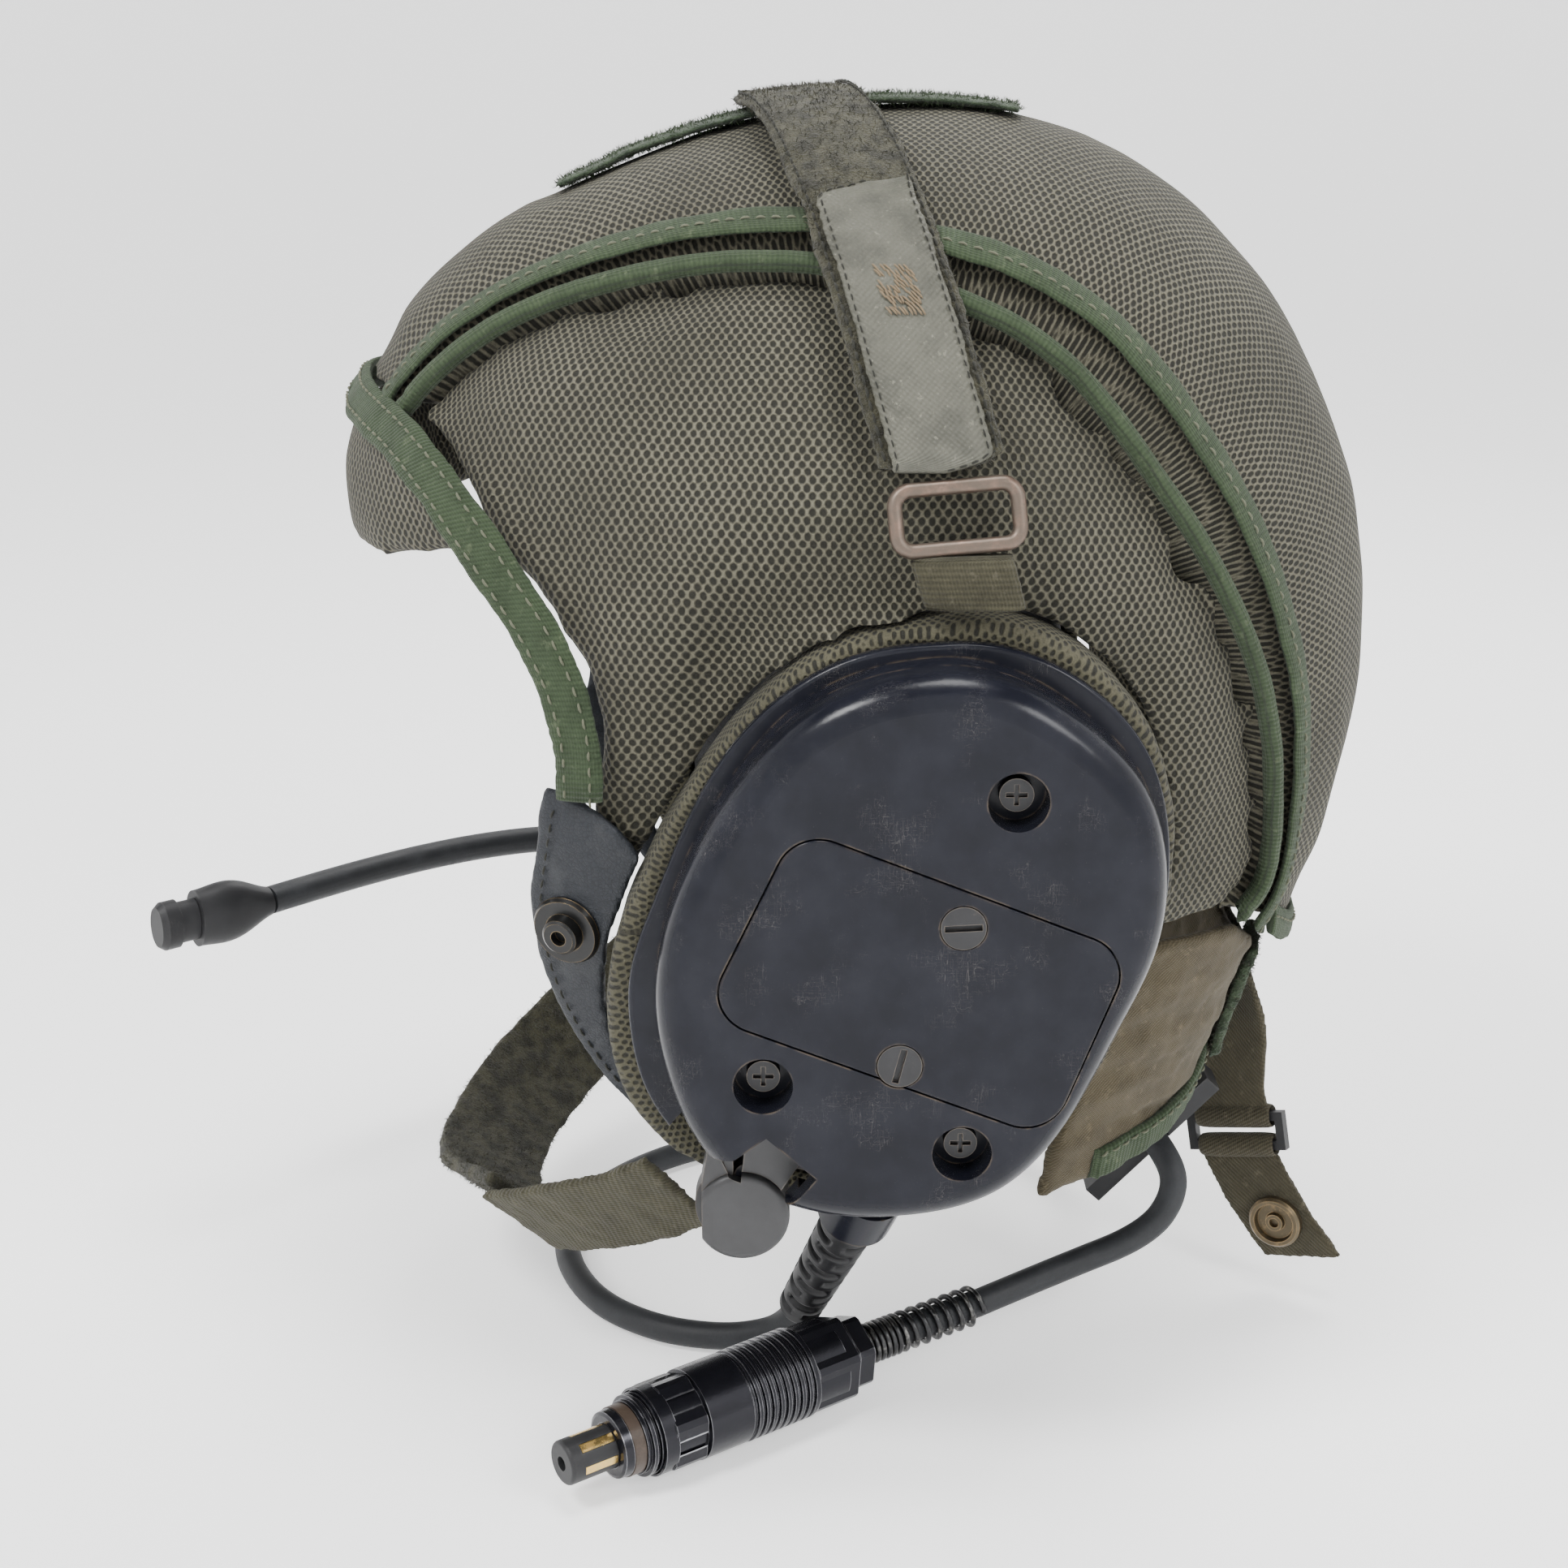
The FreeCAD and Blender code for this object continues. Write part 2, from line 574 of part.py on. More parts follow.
def cup_shell():
    """The moulded cup: a tray with a lip over the pocket and a boss for the boom swivel."""
    tray = cup_block(0, CUSHION_OUT + 0.3, SHELL_OUT)
    tray = tray.cut(cup_block(-CUP_WALL, CUSHION_OUT, SHELL_OUT - CUP_WALL))
    lip = outline_block(LIP_OUTLINE, 0, LIP_IN, LIP_OUT)
    lip = lip.makeFillet(1.0, rim_edges(lip, LIP_OUT)).cut(cup_block(-0.6, LIP_IN - 1, LIP_OUT + 1))
    floor = cylinder_x(SWIVEL_Y, SWIVEL_Z, SWIVEL_R + 2.5, SWIVEL_IN - 3.0, SWIVEL_IN - 0.3)
    floor = floor.common(cup_block(-0.6, CUSHION_OUT, SHELL_OUT))
    body = tray.cut(swivel_pocket(0.6, SWIVEL_IN - 0.3, SHELL_OUT + 1)).fuse(floor)
    body = body.fuse(lip.cut(swivel_pocket(0.6, SWIVEL_IN - 0.3, SHELL_OUT + 1)))
    body = body.fuse(cylinder_x(SWIVEL_Y, SWIVEL_Z, SWIVEL_PIN_R, SWIVEL_IN - 1.3, SWIVEL_OUT - 3.0))
    for y, z in COVER_SCREW_AT:
        body = body.fuse(cylinder_x(y, z, 4.2, BAFFLE_OUT + 2, SHELL_OUT))
        body = body.cut(cylinder_x(y, z, 1.3, SHELL_OUT - 9, SHELL_OUT + 1))
    for y, z in COIN_SCREW_AT:
        body = body.cut(cylinder_x(y, z, 2.3, SHELL_OUT - CUP_WALL - 1, SHELL_OUT + 1))
    return body


def notch_prism():
    """The cover's V notch over the boom swivel."""
    points = [(-52.0, -48.5), (-42.0, -48.5), (-37.5, -47.8), (-30.6, -42.6), (-20.4, -51.8), (-27.0, -60.0),
              (-25.0, -75.0), (-60.0, -75.0)]
    return side_prism(points, SHELL_OUT - 1, COVER_OUT + 1)


def hatch_block(gap, x_from, x_to):
    """The access cover's outline: a skewed quadrilateral with round corners."""
    corners = [V(x_from, y, z) for y, z in HATCH_OUTLINE]
    face = Part.Face(Part.makePolygon(corners + corners[:1]))
    block = face.extrude(V(x_to - x_from, 0, 0))
    block = block.makeFillet(HATCH_CORNER, [e for e in block.Edges if e.BoundBox.XLength > 0.5])
    if not gap:
        return block
    flat = next(f for f in block.Faces if f.BoundBox.XLength < 1e-6 and abs(f.BoundBox.XMin - x_from) < 1e-6)
    return Part.Face(flat.OuterWire.makeOffset2D(gap)).extrude(V(x_to - x_from, 0, 0))


def cup_cover():
    """The moulded outer cover, with three screw wells, the access cover's seat and the notch."""
    body = cup_block(0, SHELL_OUT + 0.1, COVER_OUT)
    body = body.makeFillet(COVER_ROUND, rim_edges(body, COVER_OUT))
    body = body.cut(cup_block(-CUP_WALL - 1.5, SHELL_OUT, COVER_OUT - HATCH_DEPTH - 2.2))
    for y, z in COIN_SCREW_AT:
        body = body.cut(cylinder_x(y, z, COIN_SCREW_R + 0.4, COVER_OUT - HATCH_DEPTH - 2.2, COVER_OUT + 1))
    for y, z in COVER_SCREW_AT:
        body = body.fuse(cylinder_x(y, z, SCREW_WELL_R + 1.6, SHELL_OUT + 0.1, COVER_OUT - 2.0))
        body = body.cut(cylinder_x(y, z, SCREW_WELL_R, SHELL_OUT + 2.4, COVER_OUT + 1))
        body = body.cut(cylinder_x(y, z, 1.9, SHELL_OUT - 1, SHELL_OUT + 3))
    body = body.cut(notch_prism())
    body = body.cut(hatch_block(HATCH_GAP, COVER_OUT - HATCH_DEPTH, COVER_OUT + 1))
    for y, z in COIN_SCREW_AT:
        body = body.cut(cylinder_x(y, z, 2.3, SHELL_OUT - 1, COVER_OUT))
    return largest(body)


def cover_screws():
    made = []
    for y, z in COVER_SCREW_AT:
        head = cylinder_x(y, z, SCREW_HEAD_R, SHELL_OUT + 2.5, SHELL_OUT + 5.0)
        slot_a = Part.makeBox(2, 4.2, 0.9, V(SHELL_OUT + 4.0, y - 2.1, z - 0.45))
        slot_b = Part.makeBox(2, 0.9, 4.2, V(SHELL_OUT + 4.0, y - 0.45, z - 2.1))
        shank = cylinder_x(y, z, 1.25, SHELL_OUT - 8, SHELL_OUT + 3)
        made.append(head.fuse(shank).cut(slot_a).cut(slot_b))
    return Part.makeCompound(made)


def access_cover():
    plate = hatch_block(0, COVER_OUT - HATCH_DEPTH + 0.2, COVER_OUT + 0.2)
    rim = rim_edges(plate, COVER_OUT + 0.2)
    plate = plate.makeFillet(0.4, rim)
    for y, z in COIN_SCREW_AT:
        plate = plate.cut(cylinder_x(y, z, COIN_SCREW_R + 0.2, COVER_OUT - 1.6, COVER_OUT + 1))
        plate = plate.cut(cylinder_x(y, z, 2.0, COVER_OUT - 5, COVER_OUT))
    return plate


def coin_screw(place, slot_angle):
    """A captive slotted screw that holds the access cover."""
    y, z = place
    head = cylinder_x(y, z, COIN_SCREW_R, COVER_OUT - 1.5, COVER_OUT + 0.3)
    shank = cylinder_x(y, z, 1.7, COVER_OUT - 8.5, COVER_OUT - 1)
    slot = Part.makeBox(1.2, 2 * COIN_SCREW_R - 1.6, 1.3, V(COVER_OUT - 0.8, y - COIN_SCREW_R + 0.8, z - 0.65))
    slot.rotate(V(0, y, z), V(1, 0, 0), slot_angle)
    return head.fuse(shank).cut(slot)


def ear_cushion():
    """The soft ring that seals round the ear."""
    ring = outline_block(CUP_OUTLINE, 0, CUSHION_IN, CUSHION_OUT)
    ring = ring.makeFillet(6.0, rim_edges(ring, CUSHION_IN))
    hole = outline_block(CUP_OUTLINE, -21.0, CUSHION_IN - 1, CUSHION_OUT + 1)
    return ring.cut(hole)


def baffle_plate():
    """The plate that closes the cup and carries the receiver."""
    plate = cup_block(-CUP_WALL - 0.3, CUSHION_OUT + 0.3, BAFFLE_OUT)
    plate = plate.cut(cylinder_x(0, 0, 17.2, CUSHION_OUT, BAFFLE_OUT + 1))
    return plate


def receiver():
    """The earphone capsule: a can with a domed front and a magnet behind."""
    can = cylinder_x(0, 0, 17.0, CUSHION_OUT + 0.6, BAFFLE_OUT + 4)
    flange = cylinder_x(0, 0, 20.0, BAFFLE_OUT + 0.1, BAFFLE_OUT + 2.4)
    magnet = cylinder_x(0, 0, 10.0, BAFFLE_OUT + 3, BAFFLE_OUT + 8.5)
    body = can.fuse(flange).fuse(magnet)
    for k in range(6):
        a = math.radians(60 * k)
        body = body.cut(cylinder_x(8 * math.cos(a), 8 * math.sin(a), 1.2, CUSHION_OUT, CUSHION_OUT + 2))
    return body


def boom_swivel():
    """The grey swivel that a boom clamps into: a disc on a neck, with a slot and a flat side."""
    y, z = SWIVEL_DISC_AT
    disc = cylinder_x(y, z, SWIVEL_DISC_R, SWIVEL_IN, SWIVEL_OUT)
    outline = [(-44.5, -61.0), (-43.0, -51.5), (-36.0, -51.0), (-31.0, -44.5), (-22.5, -52.5), (-28.5, -62.0)]
    neck = side_prism(outline, SWIVEL_IN, SWIVEL_OUT - 1.5)
    body = disc.makeFillet(1.6, rim_edges(disc, SWIVEL_OUT)).fuse(neck)
    slot_outline = [(-42.0, -49.0), (-38.5, -57.0), (-36.0, -58.0), (-34.8, -48.0)]
    slot = side_prism(slot_outline, SWIVEL_IN + 4.5, SWIVEL_OUT + 1)
    flat = Part.makeBox(30, 6, 40, V(SWIVEL_IN + 5, y - SWIVEL_DISC_R - 4.4, z - 20))
    bore = cylinder_x(SWIVEL_Y, SWIVEL_Z, SWIVEL_BORE_R, SWIVEL_IN - 1, SWIVEL_OUT - 2.6)
    return body.cut(slot).cut(flat).cut(bore).removeSplitter()


def swivel_clip():
    """The sprung metal clip that stands in the swivel's slot."""
    plate = Part.makeBox(5.0, 2.6, 8.0, V(SWIVEL_IN + 4.2, -40.2, -57.6))
    return plate.makeFillet(0.8, [e for e in plate.Edges if e.BoundBox.XLength > 4.5])


# ---------------------------------------------------------------- cheeks and chin
def cheek_patch():
    """The grey leather facing in front of the ear cup, with the strap stud."""
    outer = dome_slab(45, DOME_HALF_WIDTH - 0.8, 1.0, 9)
    inner = dome_slab(44.9, DOME_HALF_WIDTH - 3.2, -1.8, 9)
    outline = [(-76.5, 21.5), (-66.0, 18.0), (-56.5, 8.5), (-52.0, -20.0), (-55.0, -40.0), (-51.0, -58.0),
               (-58.0, -58.0), (-72.0, -38.0), (-79.5, -18.0), (-80.5, -2.0)]
    patch = outer.cut(inner).common(side_prism(outline, 40, 120, smooth=((0, 2), (6, 9))))
    return largest(patch.cut(pocket_block(0.4, 40, 130)))


def cheek_stud():
    """The snap stud on the cheek patch: a brass eyelet and a black post."""
    p = dome_width(-72.8, -10.5, 1.0)
    n = dome_normal(p)
    profile = [(-3.4, 3.0), (-3.0, 3.0), (-3.0, 4.6), (-0.4, 4.6), (0.05, 7.8), (1.1, 7.2), (1.1, 4.4), (3.4, 4.0),
               (3.9, 3.4), (3.9, 1.7), (2.0, 1.7)]
    return turned(profile, p, n)


CHIN_LINE = [(78.0, -50.0, -72.0), (66.0, -68.0, -83.0), (47.0, -86.0, -93.0), (24.0, -97.0, -99.5),
             (0.0, -101.0, -101.5)]


def chin_stations(points):
    """Strap stations that lean with the jaw: steep at the cheek, flatter under the chin."""
    made = []
    for x, y, z in points:
        lean = math.radians(58 - 34 * (1 - abs(x) / 78))
        out = V(x / 130.0, (y + 20.0) / 110.0, 0).normalize()
        normal = out * math.sin(lean) + V(0, 0, -1) * math.cos(lean)
        made.append((V(x, y, z), normal))
    places = [p for p, _ in made]
    return stations_along(places, [n for _, n in made])


def chin_strap_right():
    """The long pile strap, from the right cheek past the middle of the chin."""
    mirrored_line = [(-x, y, z) for x, y, z in CHIN_LINE]
    points = mirrored_line + [CHIN_LINE[3], CHIN_LINE[2]]
    return ribbon(chin_stations(points), 27.0, 3.4)


def chin_strap_left():
    """The short hook tab, from the left cheek, closed over the long strap."""
    made = []
    for p, across, normal in chin_stations([CHIN_LINE[0], CHIN_LINE[1], (57.5, -78.0, -88.0), CHIN_LINE[2]]):
        near = min(1.0, (78.0 - p.x) / 30.0)
        made.append((p + normal * (3.6 * near + 0.2), across, normal))
    return ribbon(made, 24.0, 2.4)


# ---------------------------------------------------------------- nape
def nape_tab():
    """The short pile tab sewn under the rear edge."""
    points = [V(20.0, 84.6, -34.5), V(20.3, 82.0, -42.0), V(20.6, 77.8, -55.0), V(20.8, 76.4, -62.0)]
    normal = V(0.15, 1, 0.25)
    return ribbon([(p, V(1, -0.15, 0), normal) for p in points], 21.0, 3.0)


def nape_strap_upper():
    """The twisted webbing that hangs from the rear edge to the link."""
    return ribbon([
        (NAPE_TOP, V(1, 0.02, 0), V(0, 1, 0.1)),
        (V(-0.5, 83.6, -51.0), V(0.95, 0.30, 0.05), V(-0.30, 0.95, 0)),
        (V(1.5, 84.4, -64.0), V(0.76, 0.65, 0.08), V(0.65, -0.76, 0)),
        (V(4.0, 83.6, -76.0), V(0.56, 0.80, 0.18), V(0.82, -0.57, 0)),
        (V(6.8, 84.6, -87.4), NAPE_WIDTH_DIR, V(0.86, -0.52, 0)),
    ], WEBBING_W, STRAP_T)


def link_frame():
    """The plastic link's middle, its long direction and its down direction."""
    w = V(NAPE_WIDTH_DIR).normalize()
    down = V(0.28, 0.20, -0.94)
    down = (down - w * down.dot(w)).normalize()
    return V(8.0, 86.2, -92.2), w, down, w.cross(down)


def nape_link():
    p, w, down, n = link_frame()
    frame = oriented_box(p, w, down, n, 25.5, 9.6, 2.6)
    return frame.cut(oriented_box(p, w, down, n, 21.2, 5.2, 4.0))


def oriented_box(p, u, v, n, lu, lv, ln):
    """A box of sizes lu, lv, ln along u, v, n, centred on p."""
    base = p - u * (lu / 2) - v * (lv / 2) - n * (ln / 2)
    corners = [base, base + u * lu, base + u * lu + v * lv, base + v * lv]
    return Part.Face(Part.makePolygon(corners + corners[:1])).extrude(n * ln)


def nape_end_line():
    """The nape strap's loose end: where it leaves the link, its tip and its normal."""
    p, w, down, _ = link_frame()
    start = p + down * 5.8
    end = start + V(0.30, 0.52, -0.80) * 30.0
    return start, end, (end - start).cross(w).normalize()


def nape_strap_lower():
    """The short end with the snap, hanging from the link."""
    _, w, _, n = link_frame()
    start, end, normal = nape_end_line()
    middle = (start + end) * 0.5 + V(0.2, -0.6, -0.6)
    return ribbon([(start, w, n), (middle, w, normal), (end, w, normal)], WEBBING_W, STRAP_T)


def nape_snap():
    """The snap socket near the end of the nape strap."""
    start, end, normal = nape_end_line()
    if normal.x < 0:
        normal = normal * -1
    at = start + (end - start) * 0.62 + V(0.1, -0.3, -0.3) + normal * (STRAP_T / 2 + 0.25)
    profile = [(0, 6.6), (1.6, 6.6), (2.2, 6.0), (2.2, 5.0), (0.8, 4.6), (0.8, 2.4), (1.9, 2.2), (1.9, 1.2),
               (0.8, 1.2)]
    cup = turned(profile, at, normal)
    back = turned([(0, 6.2), (1.2, 5.4)], at - normal * (STRAP_T + 0.5), normal * -1)
    return Part.makeCompound([cup, back])


# ---------------------------------------------------------------- microphone
BOOM_LINE = [(-98.0, -51.2, -54.7), (-97.0, -64.0, -52.5), (-91.0, -88.0, -49.5), (-76.0, -112.0, -47.0),
             (-56.0, -132.0, -45.0), (-36.0, -148.0, -43.4), (-22.0, -158.5, -42.4)]
MIC_TAIL = V(-22.0, -158.5, -42.4)
MIC_TIP = V(-1.0, -183.0, -42.0)


def boom_hub():
    """The boom's clamp on the right-hand swivel: an elbow that turns the boom forwards."""
    plate = Part.makeCylinder(7.2, 4.2, V(-SWIVEL_OUT + 1.0, SWIVEL_Y, SWIVEL_Z), V(-1, 0, 0))
    elbow = beam([V(-99.0, -37.0, -57.3), V(-98.6, -44.0, -56.1), V(-98.0, -51.0, -54.7)], 4.5)
    return largest(plate.fuse(elbow).cut(cylinder_x(SWIVEL_Y, SWIVEL_Z, SWIVEL_BORE_R, -100.4, -90.0)))


def boom_arm():
    return beam([V(*p) for p in BOOM_LINE], BOOM_R)


def mic_loft(sections, ruled):
    """A flattened body along the microphone's axis, from (distance, half height, half thickness)."""
    along = (MIC_TIP - MIC_TAIL).normalize()
    up = (V(0, 0, 1) - along * along.z).normalize()
    thick = along.cross(up)
    wires = []
    for d, half_up, half_thick in sections:
        middle = MIC_TAIL + along * d
        ring = [middle + up * (half_up * math.sin(a)) + thick * (half_thick * math.cos(a))
                for a in (math.radians(30 * k) for k in range(12))]
        wires.append(closed_curve(ring))
    return Part.makeLoft(wires, True, ruled)


def mic_housing():
    """The flattened paddle that holds the capsule."""
    return mic_loft(((0.1, 3.7, 3.7), (4.5, 5.6, 4.2), (9, 7.5, 4.8), (17, 7.7, 5.0), (20.5, 7.4, 4.9)), False)


def mic_capsule():
    """The capsule neck and its end guard."""
    return mic_loft(((20.7, 5.4, 3.5), (25.5, 5.4, 3.5), (25.9, 6.3, 4.4), (29.5, 6.3, 4.4), (31.0, 5.2, 3.4)), True)


# ---------------------------------------------------------------- lead
def plug_axis():
    return (PLUG_TIP - PLUG_TAIL).normalize()


def hex_prism(flat, d_from, d_to):
    """A hexagonal nut with chamfered corners, along the plug's axis."""
    r = flat / math.sqrt(3)
    points = [V(r * math.cos(math.radians(60 * k)), r * math.sin(math.radians(60 * k)), d_from) for k in range(7)]
    prism = Part.Face(Part.makePolygon(points)).extrude(V(0, 0, d_to - d_from))
    cap = Part.makeCylinder(r * 0.96, d_to - d_from, V(0, 0, d_from))
    return prism.common(cap)


def on_plug(shape):
    return placed(shape, PLUG_TAIL, plug_axis())


def plug_body():
    """The connector's barrel: a rear hexagon, a ribbed grip and a threaded nose."""
    profile = [(8.2, 9.6), (17.0, 9.6), (17.0, 10.3)]
    ribs = 9
    pitch = 17.5 / ribs
    for k in range(ribs):
        d = 17.4 + k * pitch
        profile += [(d, 10.4), (d + 0.45 * pitch, 10.4), (d + 0.6 * pitch, 9.8), (d + 0.95 * pitch, 9.8)]
    profile += [(35.2, 10.3), (46.4, 10.3), (46.6, 9.0), (55.6, 9.0)]
    for k in range(3):
        d = 55.8 + 1.9 * k
        profile += [(d, 9.1), (d + 0.9, 9.1), (d + 1.0, 8.2), (d + 1.8, 8.2)]
    profile += [(61.6, 8.2), (61.6, 7.0), (64.6, 7.0), (64.6, 7.6), (66.6, 7.4), (66.9, 6.6)]
    barrel = turned_up(profile)
    rear = hex_prism(18.4, 5.4, 16.8).fuse(Part.makeCylinder(8.0, 1.4, V(0, 0, 4.4)))
    return on_plug(barrel.fuse(rear).cut(Part.makeCylinder(5.0, 90, V(0, 0, -5))))


def gland_nut():
    """The hexagonal nut that clamps the lead's spring into the barrel."""
    nut = hex_prism(15.5, 0.0, 4.2)
    return on_plug(nut.cut(Part.makeCylinder(4.3, 10, V(0, 0, -2))))


def coupling_nut():
    """The hexagonal coupling nut that turns on the nose."""
    nut = hex_prism(18.6, 47.0, 55.0)
    nut = nut.fuse(Part.makeCylinder(9.9, 3.4, V(0, 0, 54.6)))
    return on_plug(nut.cut(Part.makeCylinder(9.45, 30, V(0, 0, 40))))


def seal_ring():
    ring = Part.makeCylinder(7.8, 2.8, V(0, 0, 61.7)).cut(Part.makeCylinder(7.05, 6, V(0, 0, 60)))
    return on_plug(ring)


def probe():
    """The insulated contact probe, with six slots for the contact strips."""
    rod = Part.makeCylinder(PROBE_R, PROBE_TO - PROBE_FROM, V(0, 0, PROBE_FROM))
    rod = rod.makeFillet(0.8, [e for e in rod.Edges if abs(e.BoundBox.ZMin - PROBE_TO) < 1e-3])
    rod = rod.fuse(Part.makeCylinder(PROBE_ROOT_R, PROBE_FROM - PROBE_ROOT_FROM + 1, V(0, 0, PROBE_ROOT_FROM)))
    for k in range(6):
        rod = rod.cut(contact_bar(k, 0.1))
    return on_plug(rod.cut(Part.makeCylinder(1.6, 3, V(0, 0, 76))))


def contact_bar(k, gap):
    bar = Part.makeBox(1.6 + gap, 1.9 + 2 * gap, 8.0 + 2 * gap, V(3.7 - gap, -0.95 - gap, 67.2 - gap))
    bar.rotate(V(0, 0, 0), V(0, 0, 1), 60 * k + 30)
    return bar


def contacts():
    keep = Part.makeCylinder(PROBE_R, 20, V(0, 0, 60))
    return Part.makeCompound([on_plug(contact_bar(k, 0).common(keep)) for k in range(6)])


def plug_spring():
    """The coil spring over the lead behind the gland nut, as its outer sleeve."""
    axis = PLUG_TAIL - SPRING_TAIL
    sleeve = Part.makeCylinder(4.9, axis.Length - 0.6, SPRING_TAIL, axis)
    return sleeve.cut(Part.makeCylinder(LEAD_R + 0.1, axis.Length + 2, SPRING_TAIL - V(axis).normalize(), axis))


def lead_core():
    """The last stretch of the lead, inside the spring and the gland nut."""
    axis = PLUG_TAIL - SPRING_TAIL
    return Part.makeCylinder(LEAD_R, axis.Length + 3.0, SPRING_TAIL, axis)


def lead_boot():
    """The ribbed rubber boot where the lead leaves the left cup."""
    along = BOOT_END - BOOT_TOP
    length = along.Length
    profile = [(-9.0, 6.2), (2.0, 6.2)]
    ribs = 9
    pitch = (length - 5.0) / ribs
    for k in range(ribs):
        d = 3.0 + k * pitch
        r = 6.4 - 0.9 * k / ribs
        profile += [(d, r), (d + 0.5 * pitch, r), (d + 0.55 * pitch, r - 1.1), (d + 0.98 * pitch, r - 1.1)]
    profile += [(length - 1.5, 5.2), (length, 4.9)]
    return turned(profile, BOOT_TOP, along)


def gland_boss():
    """The collar under the left cup that the boot screws into."""
    along = (BOOT_END - BOOT_TOP).normalize()
    collar = Part.makeCylinder(8.6, 11.0, BOOT_TOP - along * 9.5, along)
    return collar.cut(Part.makeCylinder(6.3, 40, BOOT_TOP - along * 20, along))


def lead_clip():
    """The black sprung clip that holds the lead to the nape flap."""
    along = V(0, 0.68, 0.73).normalize()
    out = V(1, 0, 0)
    up = along.cross(out) * -1
    base = CLIP_CENTRE
    lower = oriented_box(base - up * 3.4, along, out, up, 41.0, 11.0, 4.4)
    upper = oriented_box(base + up * 2.6 + along * 2.0, along, out, up, 37.0, 9.0, 3.6)
    bridge = oriented_box(base - along * 2.0, along, out, up, 9.0, 9.0, 8.0)
    body = lower.fuse(upper).fuse(bridge)
    into, out_of = V(*LEAD_ROUTE[14]), V(*LEAD_ROUTE[15])
    body = body.cut(Part.makeCylinder(LEAD_R + 0.1, 60, into - (out_of - into), out_of - into))
    return largest(body)


# ---------------------------------------------------------------- write the parts
def pair(shape):
    """A left-hand piece and its mirror image, as one node."""
    return Part.makeCompound(shape.Solids + mirrored(shape).Solids)


def build():
    parts = {
        "crown_panel": crown_panel(),
        "brow_pad": brow_pad(),
        "nape_flap": nape_flap(),
        "liner_pads": liner_pads(),
        "face_binding": face_binding(),
        "rear_binding": rear_binding(),
        "crest_strip": crest_strip(),
        "top_strap": top_strap(),
        "strap_overlays": strap_overlays(),
        "cup_straps": cup_straps(),
        "strap_rings": pair(strap_ring()),
        "cheek_studs": pair(cheek_stud()),
        "cover_screws": pair(cover_screws()),
        "receivers": pair(receiver()),
        "baffle_plates": pair(baffle_plate()),
        "chin_strap_right": chin_strap_right(),
        "chin_strap_left": chin_strap_left(),
        "nape_tab": nape_tab(),
        "nape_strap_upper": nape_strap_upper(),
        "nape_link": nape_link(),
        "nape_strap_lower": nape_strap_lower(),
        "nape_snap": nape_snap(),
        "boom_hub": boom_hub(),
        "boom_arm": boom_arm(),
        "mic_housing": mic_housing(),
        "mic_capsule": mic_capsule(),
        "lead_gland": gland_boss(),
        "lead_boot": lead_boot(),
        "lead_clip": lead_clip(),
        "lead": rounded_tube(LEAD_ROUTE, LEAD_R, "lead"),
        "lead_core": lead_core(),
        "plug_spring": plug_spring(),
        "gland_nut": gland_nut(),
        "plug_body": plug_body(),
        "coupling_nut": coupling_nut(),
        "seal_ring": seal_ring(),
        "probe": probe(),
        "contacts": contacts(),
    }
    both_sides = {
        "side_panel": side_panel(),
        "seam_piping": seam_piping(),
        "ear_pocket": ear_pocket(),
        "ear_cushion": ear_cushion(),
        "cup_shell": cup_shell(),
        "cup_cover": cup_cover(),
        "access_cover": access_cover(),
        "coin_screw_upper": coin_screw(COIN_SCREW_AT[0], 3),
        "coin_screw_lower": coin_screw(COIN_SCREW_AT[1], 76),
        "boom_swivel": boom_swivel().fuse(swivel_clip()),
        "cheek_patch": cheek_patch(),
    }
    for name, shape in both_sides.items():
        parts[name + "_left"] = shape
        parts[name + "_right"] = mirrored(shape)
    return parts


def main():
    os.makedirs("parts", exist_ok=True)
    for name, shape in build().items():
        solids = shape.Solids
        good = shape.isValid() and all(s.isClosed() and s.Volume > 0 for s in solids)
        print(name, len(solids), round(shape.Volume / 1000, 2), "ok" if good else "BAD")
        shape.exportStep(f"parts/{name}.step")


main()
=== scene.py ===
"""The looks of a soft communications helmet with ear cups, a boom microphone and a plug-ended lead."""
import math
import random

import bmesh
import bpy
import numpy as np
from mathutils import Matrix, Vector, noise
from mathutils.bvhtree import BVHTree


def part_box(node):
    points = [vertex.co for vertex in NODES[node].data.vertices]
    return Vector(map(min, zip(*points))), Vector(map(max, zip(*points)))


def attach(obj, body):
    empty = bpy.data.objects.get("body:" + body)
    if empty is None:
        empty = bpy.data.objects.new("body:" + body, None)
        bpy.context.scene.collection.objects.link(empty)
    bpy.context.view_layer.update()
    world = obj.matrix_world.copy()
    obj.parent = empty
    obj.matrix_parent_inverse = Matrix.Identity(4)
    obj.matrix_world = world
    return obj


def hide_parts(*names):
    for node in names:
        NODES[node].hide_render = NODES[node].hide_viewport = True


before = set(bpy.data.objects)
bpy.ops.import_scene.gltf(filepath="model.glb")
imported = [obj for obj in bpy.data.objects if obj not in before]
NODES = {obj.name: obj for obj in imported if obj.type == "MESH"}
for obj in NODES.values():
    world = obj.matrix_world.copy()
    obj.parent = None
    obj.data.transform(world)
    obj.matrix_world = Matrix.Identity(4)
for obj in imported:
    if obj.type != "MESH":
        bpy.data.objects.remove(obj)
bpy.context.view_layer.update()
MM = 0.001
FLOOR_Z = -0.1314
STAGE_GLOW, WORLD_GLOW = 0.6, 0.2
CAMERA_LENS, CAMERA_SENSOR = 55.12, 36.0
CAMERA_PLACE = (0.5516, -0.027, 0.1752)
CAMERA_AIM = (0.0, -0.027, -0.004)
LIGHT_AIM = (0.0, -0.02, 0.0)
